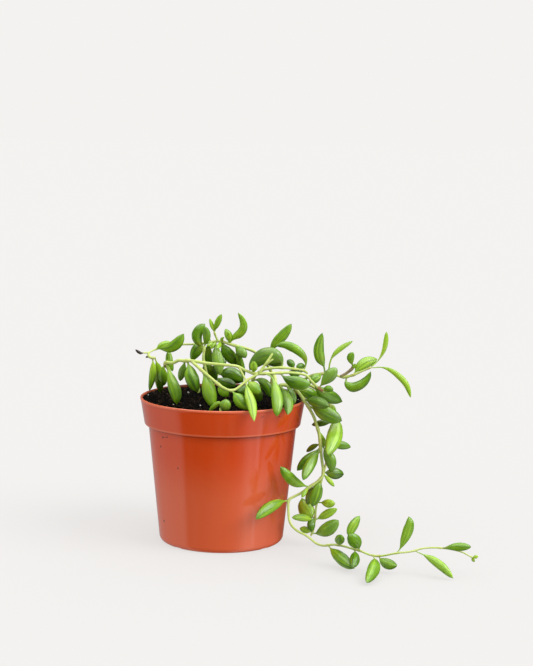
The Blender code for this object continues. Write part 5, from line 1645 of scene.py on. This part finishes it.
def make_pot():
    """The pot with its drain holes and the notches under its foot."""
    made = place_mesh("pot_shell", turned(pot_section(), POT_STEPS), terracotta_plastic())
    tools = bpy.data.collections.new("pot_cutters")
    bpy.context.scene.collection.children.link(tools)
    for cutter, count in ((drain_hole, DRAIN_HOLES), (foot_notch, FOOT_NOTCHES)):
        for index in range(count):
            mesh = mesh_from("pot_cutter", cutter(math.tau * (index + 0.5) / count))
            tools.objects.link(bpy.data.objects.new("pot_cutter", mesh))
    modifier = made.modifiers.new("cuts", "BOOLEAN")
    modifier.operation = "DIFFERENCE"
    modifier.operand_type = "COLLECTION"
    modifier.collection = tools
    make_plain(made, modifier)
    for tool in list(tools.objects):
        bpy.data.objects.remove(tool)
    bpy.data.collections.remove(tools)
    made.data.shade_smooth()
    made.data.set_sharp_from_angle(angle=math.radians(CRISP_EDGE))
    finish_piece(made, "terracotta_plastic", "pot")


def soil_surface(x, y):
    """The soil's surface with its fine lumps."""
    place = Vector((x * SOIL_LUMPS, y * SOIL_LUMPS, SOIL_SLICE))
    lumps = noise.fractal(place, SOIL_SMOOTHNESS, SOIL_FINENESS, SOIL_OCTAVES)
    return soil_height(x, y) + SOIL_ROUGHNESS * lumps


def soil_edge(angle, gap):
    """Radius of the soil's edge, this far inside the collar."""
    level = collar_inside(SOIL_LEVEL)
    height = soil_height(level * math.cos(angle), level * math.sin(angle))
    return collar_inside(height) - gap


def soil_disc(gap, rings, steps):
    """Rings of points over the soil's top, from its edge to its middle."""
    rows = []
    for ring in range(rings):
        row = []
        for step in range(steps):
            angle = math.tau * step / steps
            out = soil_edge(angle, gap) * (1 - ring / rings)
            x, y = out * math.cos(angle), out * math.sin(angle)
            row.append((x, y, soil_surface(x, y)))
        rows.append(row)
    return rows


def join_rings(builder, rows):
    """Faces from each ring of points to the next, and the rings of points that were made."""
    made = [[builder.verts.new(point) for point in row] for row in rows]
    for near, far in zip(made, made[1:]):
        for index in range(len(near)):
            following = (index + 1) % len(near)
            builder.faces.new((near[index], near[following], far[following], far[index]))
    return made


def make_soil(finish):
    """The body of peat in the pot, closed, with its lumpy top."""
    collar_foot = POT_HEIGHT - COLLAR_HEIGHT
    floor = BASE_RECESS + WALL
    # Just inside the pot's floor, its wall and the step of its collar
    wall = [
        (pot_wall(FOOT_CORNER) - WALL - 2.6, floor + 0.1),
        (pot_wall(FOOT_CORNER) - WALL - 0.7, floor + 2.2),
        (BODY_TOP_RADIUS - WALL - 0.15, collar_foot - 0.6),
        (COLLAR_FOOT_RADIUS - WALL - 0.1, collar_foot + 1.8),
    ]
    angles = [math.tau * step / SOIL_STEPS for step in range(SOIL_STEPS)]
    rows = []
    for radius, height in wall:
        row = [(radius * math.cos(angle), radius * math.sin(angle), height) for angle in angles]
        rows.append(row)
    rows += soil_disc(SOIL_WALL_GAP, SOIL_RINGS, SOIL_STEPS)
    builder = bmesh.new()
    made = join_rings(builder, rows)
    bottom = builder.verts.new((0, 0, wall[0][1]))
    top = builder.verts.new((0, 0, soil_surface(0, 0)))
    for index in range(SOIL_STEPS):
        following = (index + 1) % SOIL_STEPS
        builder.faces.new((bottom, made[0][following], made[0][index]))
        builder.faces.new((top, made[-1][index], made[-1][following]))
    bmesh.ops.recalc_face_normals(builder, faces=builder.faces)
    piece = place_mesh("peat_body", builder, finish)
    piece.data.shade_smooth()
    finish_piece(piece, "potting_soil", "potting_soil")


def soil_carrier():
    """An open patch of the soil's top that grains are strewn over."""
    rows = soil_disc(GRAIN_WALL_GAP, CARRIER_RINGS, CARRIER_STEPS)
    builder = bmesh.new()
    made = join_rings(builder, [[(x * MM, y * MM, z * MM) for x, y, z in row] for row in rows])
    builder.faces.new(made[-1])
    return mesh_from("soil_carrier", builder)


def strew_soil(peat_finish):
    """Crumbs, dust, chips, fibres and small white grains, strewn over the soil by chance."""
    bark_finish = bark()
    white_finish = perlite()
    crumbs = grain_tree("peat_crumbs", peat_finish, 1)
    chips = grain_tree("bark_chips", bark_finish, 1)
    fibres = fibre_tree(bark_finish)
    white = grain_tree("perlite_grains", white_finish, 2)
    heaps = [
        ("peat_crumbs", crumbs, {
            "Spacing": 1.1 * MM, "Smallest": 0.28 * MM, "Largest": 0.95 * MM, "Seed": 11,
        }),
        ("peat_dust", crumbs, {
            "Spacing": 0.9 * MM, "Smallest": 0.15 * MM, "Largest": 0.4 * MM, "Seed": 12,
        }),
        ("bark_chips", chips, {
            "Spacing": 9.0 * MM, "Smallest": 0.5 * MM, "Largest": 1.2 * MM, "Flatness": 0.35,
            "Stretch": 2.0, "Tumble": 0.9, "Seed": 13,
        }),
        ("root_fibres", fibres, {"Seed": 14}),
        ("perlite_grains", white, {
            "Spacing": 26.0 * MM, "Smallest": 0.3 * MM, "Largest": 0.6 * MM, "Seed": 15,
        }),
    ]
    for name, tree, sizes in heaps:
        finish_piece(grow(name, soil_carrier(), tree, sizes), "potting_soil")
    lay_white_grains(white_finish)


def lay_white_grains(finish):
    """The large white grains, each where the photograph shows it."""
    builder = bmesh.new()
    for right, height, radius in WHITE_GRAINS:
        point = on_soil(right, height)
        grain = bmesh.ops.create_icosphere(
            builder, subdivisions=WHITE_GRAIN_SPLITS, radius=radius,
        )
        for vert in grain["verts"]:
            lump = noise.noise(vert.co * WHITE_GRAIN_DETAIL / radius + point)
            size = 1 + WHITE_GRAIN_LUMPS * lump
            vert.co = vert.co * size * Vector(WHITE_GRAIN_FORM) + point
    piece = place_mesh("coarse_perlite", builder, finish)
    piece.data.shade_smooth()
    finish_piece(piece, "potting_soil")


def body_width(made, share):
    """Width of a leaf at a share of its body: full at its peak, drawn to a point."""
    width = fullness(share, made["peak"])
    for reach, size in ((share, LEAF_SHOULDER), (1 - share, made["point"])):
        if reach < size:
            t = max(reach, 0.0) / size
            width *= math.sqrt(t * (2 - t))
    return width


def directions_of(points):
    last = len(points) - 1
    found = []
    for index in range(len(points)):
        run = points[min(index + 1, last)] - points[max(index - 1, 0)]
        found.append(run.normalized())
    return found


def leaf_run(made, line, draw):
    """The points of one leaf, from inside its stem to its tip, each with its values."""
    stalk = made["stalk"]
    shares = [stalk * ring for ring in STALK_RINGS]
    for ring in range(LEAF_RINGS + 1):
        body = 0.5 - 0.5 * math.cos(math.pi * ring / LEAF_RINGS)
        shares.append(stalk + (1 - stalk) * body)
    points, _ = along(line, shares)
    widths = []
    for share in shares:
        body = (share - stalk) / (1 - stalk)
        full = made["width"] / 2 * body_width(made, min(max(body, 0.0), 1.0))
        stem_part = made["root"] if body < 0.5 else 0.0
        widths.append((full ** 3 + stem_part ** 3) ** (1 / 3))
    widths[0] = 0.0
    widths[-1] = 0.0
    middle = len(points) // 2
    direction = (points[middle + 1] - points[middle - 1]).normalized()
    side = direction.cross((points[middle] - EYE).normalized())
    if side.length < END_ON_VIEW:
        side = direction.cross(Vector((0, 0, 1)))
    tone = draw.uniform(*REAR_TONE) if made["tone"] is None else made["tone"]
    return {
        "points": points, "half_width": widths, "along": shares,
        "across": sides_along(directions_of(points), side.normalized()), "is_leaf": True,
        "window": made["window"], "tone": tone, "tip_darkening": made["tip_darkening"], "bloom": made["bloom"],
        "chance": draw.random(), "dried": made["dried"],
    }


def stem_run(made, line, draw):
    """The points of one stem, swollen where its leaves grow, with rounded ends."""
    _, length = along(line, [0.0])
    count = max(4, round(length / STEM_STEP))
    shares = [index / count for index in range(count + 1)]
    points, _ = along(line, shares)
    roots = [place_on_stem(made, line, grown["places"][0])["point"] for grown in made["leaves"]]
    widths = []
    joints = []
    for share, point in zip(shares, points):
        near = min([(point - root).length for root in roots], default=math.inf)
        swell = math.exp(-(near / JOINT_REACH) ** 2)
        joints.append(swell)
        widths.append(stem_radius(made, share) * (1 + JOINT_SWELL * swell))
    finish = points[-1] + (points[-1] - points[-2]).normalized() * widths[-1] * TIP_LENGTH
    points = [points[0], *points, finish]
    widths = [0.0, *widths, 0.0]
    widths[-2] *= TIP_WIDTH
    shares = [0.0, *shares, 1.0]
    joints = [joints[0], *joints, joints[-1]]
    directions = directions_of(points)
    directions[0] = directions[1]
    return {
        "points": points, "half_width": widths, "along": shares,
        "across": sides_along(directions, directions[len(points) // 2].orthogonal()),
        "chance": draw.random(), "joint": joints, "brown": made["brown"],
    }


# What the points of a run carry, and what they carry where the run doesn't say
RUN_KINDS = {
    "across": "FLOAT_VECTOR", "is_leaf": "BOOLEAN", "half_width": "FLOAT", "along": "FLOAT",
    "tone": "FLOAT", "tip_darkening": "FLOAT", "bloom": "FLOAT", "window": "FLOAT", "chance": "FLOAT",
    "joint": "FLOAT", "dried": "FLOAT", "brown": "FLOAT",
}
RUN_DEFAULTS = {
    "is_leaf": False, "tone": 0.5, "tip_darkening": 0.0, "bloom": 0.0, "window": 0.0, "joint": 0.0,
    "dried": 0.0, "brown": 0.0,
}


def line_mesh(name, runs):
    """One mesh of loose lines, with the values of their points."""
    places = []
    edges = []
    for run in runs:
        start = len(places)
        places += [tuple(point * MM) for point in run["points"]]
        edges += [(index, index + 1) for index in range(start, len(places) - 1)]
    mesh = bpy.data.meshes.new(name)
    mesh.from_pydata(places, edges, [])
    for key, kind in RUN_KINDS.items():
        values = []
        for run in runs:
            given = run.get(key, RUN_DEFAULTS.get(key))
            values += given if isinstance(given, list) else [given] * len(run["points"])
        kept = mesh.attributes.new(key, kind, "POINT")
        if kind == "FLOAT_VECTOR":
            kept.data.foreach_set("vector", np.array([tuple(v) for v in values]).ravel())
        else:
            scale = MM if key == "half_width" else 1
            kept.data.foreach_set("value", [value * scale for value in values])
    return mesh


def make_plant():
    """Every stem with its leaves, one piece for each growth."""
    tree = leafy_stem_tree(leaf_skin(), stem_skin())
    lines, placed = lay_out_plant()
    draw = random.Random(LOOK_SEED)
    for node, stems in PLANT.items():
        runs = []
        for index, made in enumerate(stems):
            runs.append(stem_run(made, lines[node, index], draw))
        for grown, line in placed[node]:
            runs.append(leaf_run(grown, line, draw))
        piece = grow(node + "_growth", line_mesh(node, runs), tree)
        finish_piece(piece, "green_leaf", node)


def make_camera():
    """The camera at the photograph's place, turn and focal length."""
    yaw, pitch, roll = (math.radians(turn) for turn in (CAMERA_YAW, CAMERA_PITCH, CAMERA_ROLL))
    forward = Vector((
        math.sin(yaw) * math.cos(pitch), math.cos(yaw) * math.cos(pitch), math.sin(pitch),
    ))
    level = Vector((math.cos(yaw), -math.sin(yaw), 0.0))
    upright = level.cross(forward)
    right = level * math.cos(roll) + upright * math.sin(roll)
    up = upright * math.cos(roll) - level * math.sin(roll)
    data = bpy.data.cameras.new("camera")
    data.sensor_fit = "AUTO"
    data.sensor_width = SENSOR_WIDTH
    data.lens = FOCAL_PIXELS * SENSOR_WIDTH / PHOTO_LONG_SIDE
    data.clip_start = NEAREST_SEEN * MM
    data.clip_end = 2 * FLOOR_RADIUS * MM
    made = put("camera", data)
    turned_to = Matrix((right, up, -forward)).transposed().to_4x4()
    made.matrix_world = Matrix.Translation(EYE * MM) @ turned_to
    bpy.context.scene.camera = made


def make_floor():
    """A wide flat floor of white paper, which neither gloss nor soft light sees."""
    builder = bmesh.new()
    bmesh.ops.create_circle(
        builder, cap_ends=True, segments=FLOOR_SIDES, radius=FLOOR_RADIUS,
    )
    made = place_mesh("studio_floor", builder, floor_paper())
    made.visible_glossy = False
    made.visible_diffuse = False


def make_key():
    """A soft key light from the right, above and before the pot."""
    key = bpy.data.lights.new("key", "SUN")
    key.energy = KEY_STRENGTH
    key.angle = math.radians(KEY_SPREAD)
    made = put("key", key)
    made.rotation_euler = Vector(KEY_FROM).to_track_quat("Z", "Y").to_euler()


def make_surroundings():
    """The pale room: its soft light, what gloss shows of it, and the plain backdrop."""
    world = bpy.data.worlds.new("studio")
    bpy.context.scene.world = world
    world.use_nodes = True
    world.cycles.sampling_method = "NONE"
    tree = world.node_tree
    tree.nodes.clear()
    way = result(tree, "ShaderNodeTexCoord", "Generated")
    parts = add(tree, "ShaderNodeSeparateXYZ", {"Vector": way}).outputs
    steepness = parts["Z"]
    turn = figure(tree, "ARCTAN2", parts["X"], figure(tree, "MULTIPLY", parts["Y"], -1.0))
    turn = figure(tree, "MULTIPLY_ADD", turn, 1 / math.tau, 0.5)
    panels = colour_steps(
        tree, turn, [(0.5 + degrees / 360, grey(level)) for degrees, level in PANELS],
    )
    over_floor = fade(tree, steepness, *HORIZON)
    gloss = mix(tree, over_floor, panels, grey(SIDE_GLOSS))
    gloss = mix(tree, fade(tree, steepness, *TOP_GLOSS_FADE), gloss, grey(TOP_GLOSS))
    soft = mix(tree, over_floor, grey(UNDER_LIGHT), grey(SIDE_LIGHT))
    soft = mix(tree, fade(tree, steepness, *TOP_LIGHT_FADE), soft, grey(TOP_LIGHT))
    path = add(tree, "ShaderNodeLightPath").outputs
    light = mix(tree, path["Is Glossy Ray"], soft, gloss)
    around = result(tree, "ShaderNodeBackground", "Background", {"Color": light})
    plain = {"Color": shade(*BACKDROP)}
    backdrop = result(tree, "ShaderNodeBackground", "Background", plain)
    both = result(tree, "ShaderNodeMixShader", "Shader", {
        0: path["Is Camera Ray"], 1: around, 2: backdrop,
    })
    add(tree, "ShaderNodeOutputWorld", {"Surface": both})


make_camera()
make_floor()
make_key()
make_surroundings()
bpy.context.scene.view_settings.view_transform = "Standard"
peat_finish = peat()
make_pot()
make_soil(peat_finish)
strew_soil(peat_finish)
make_plant()
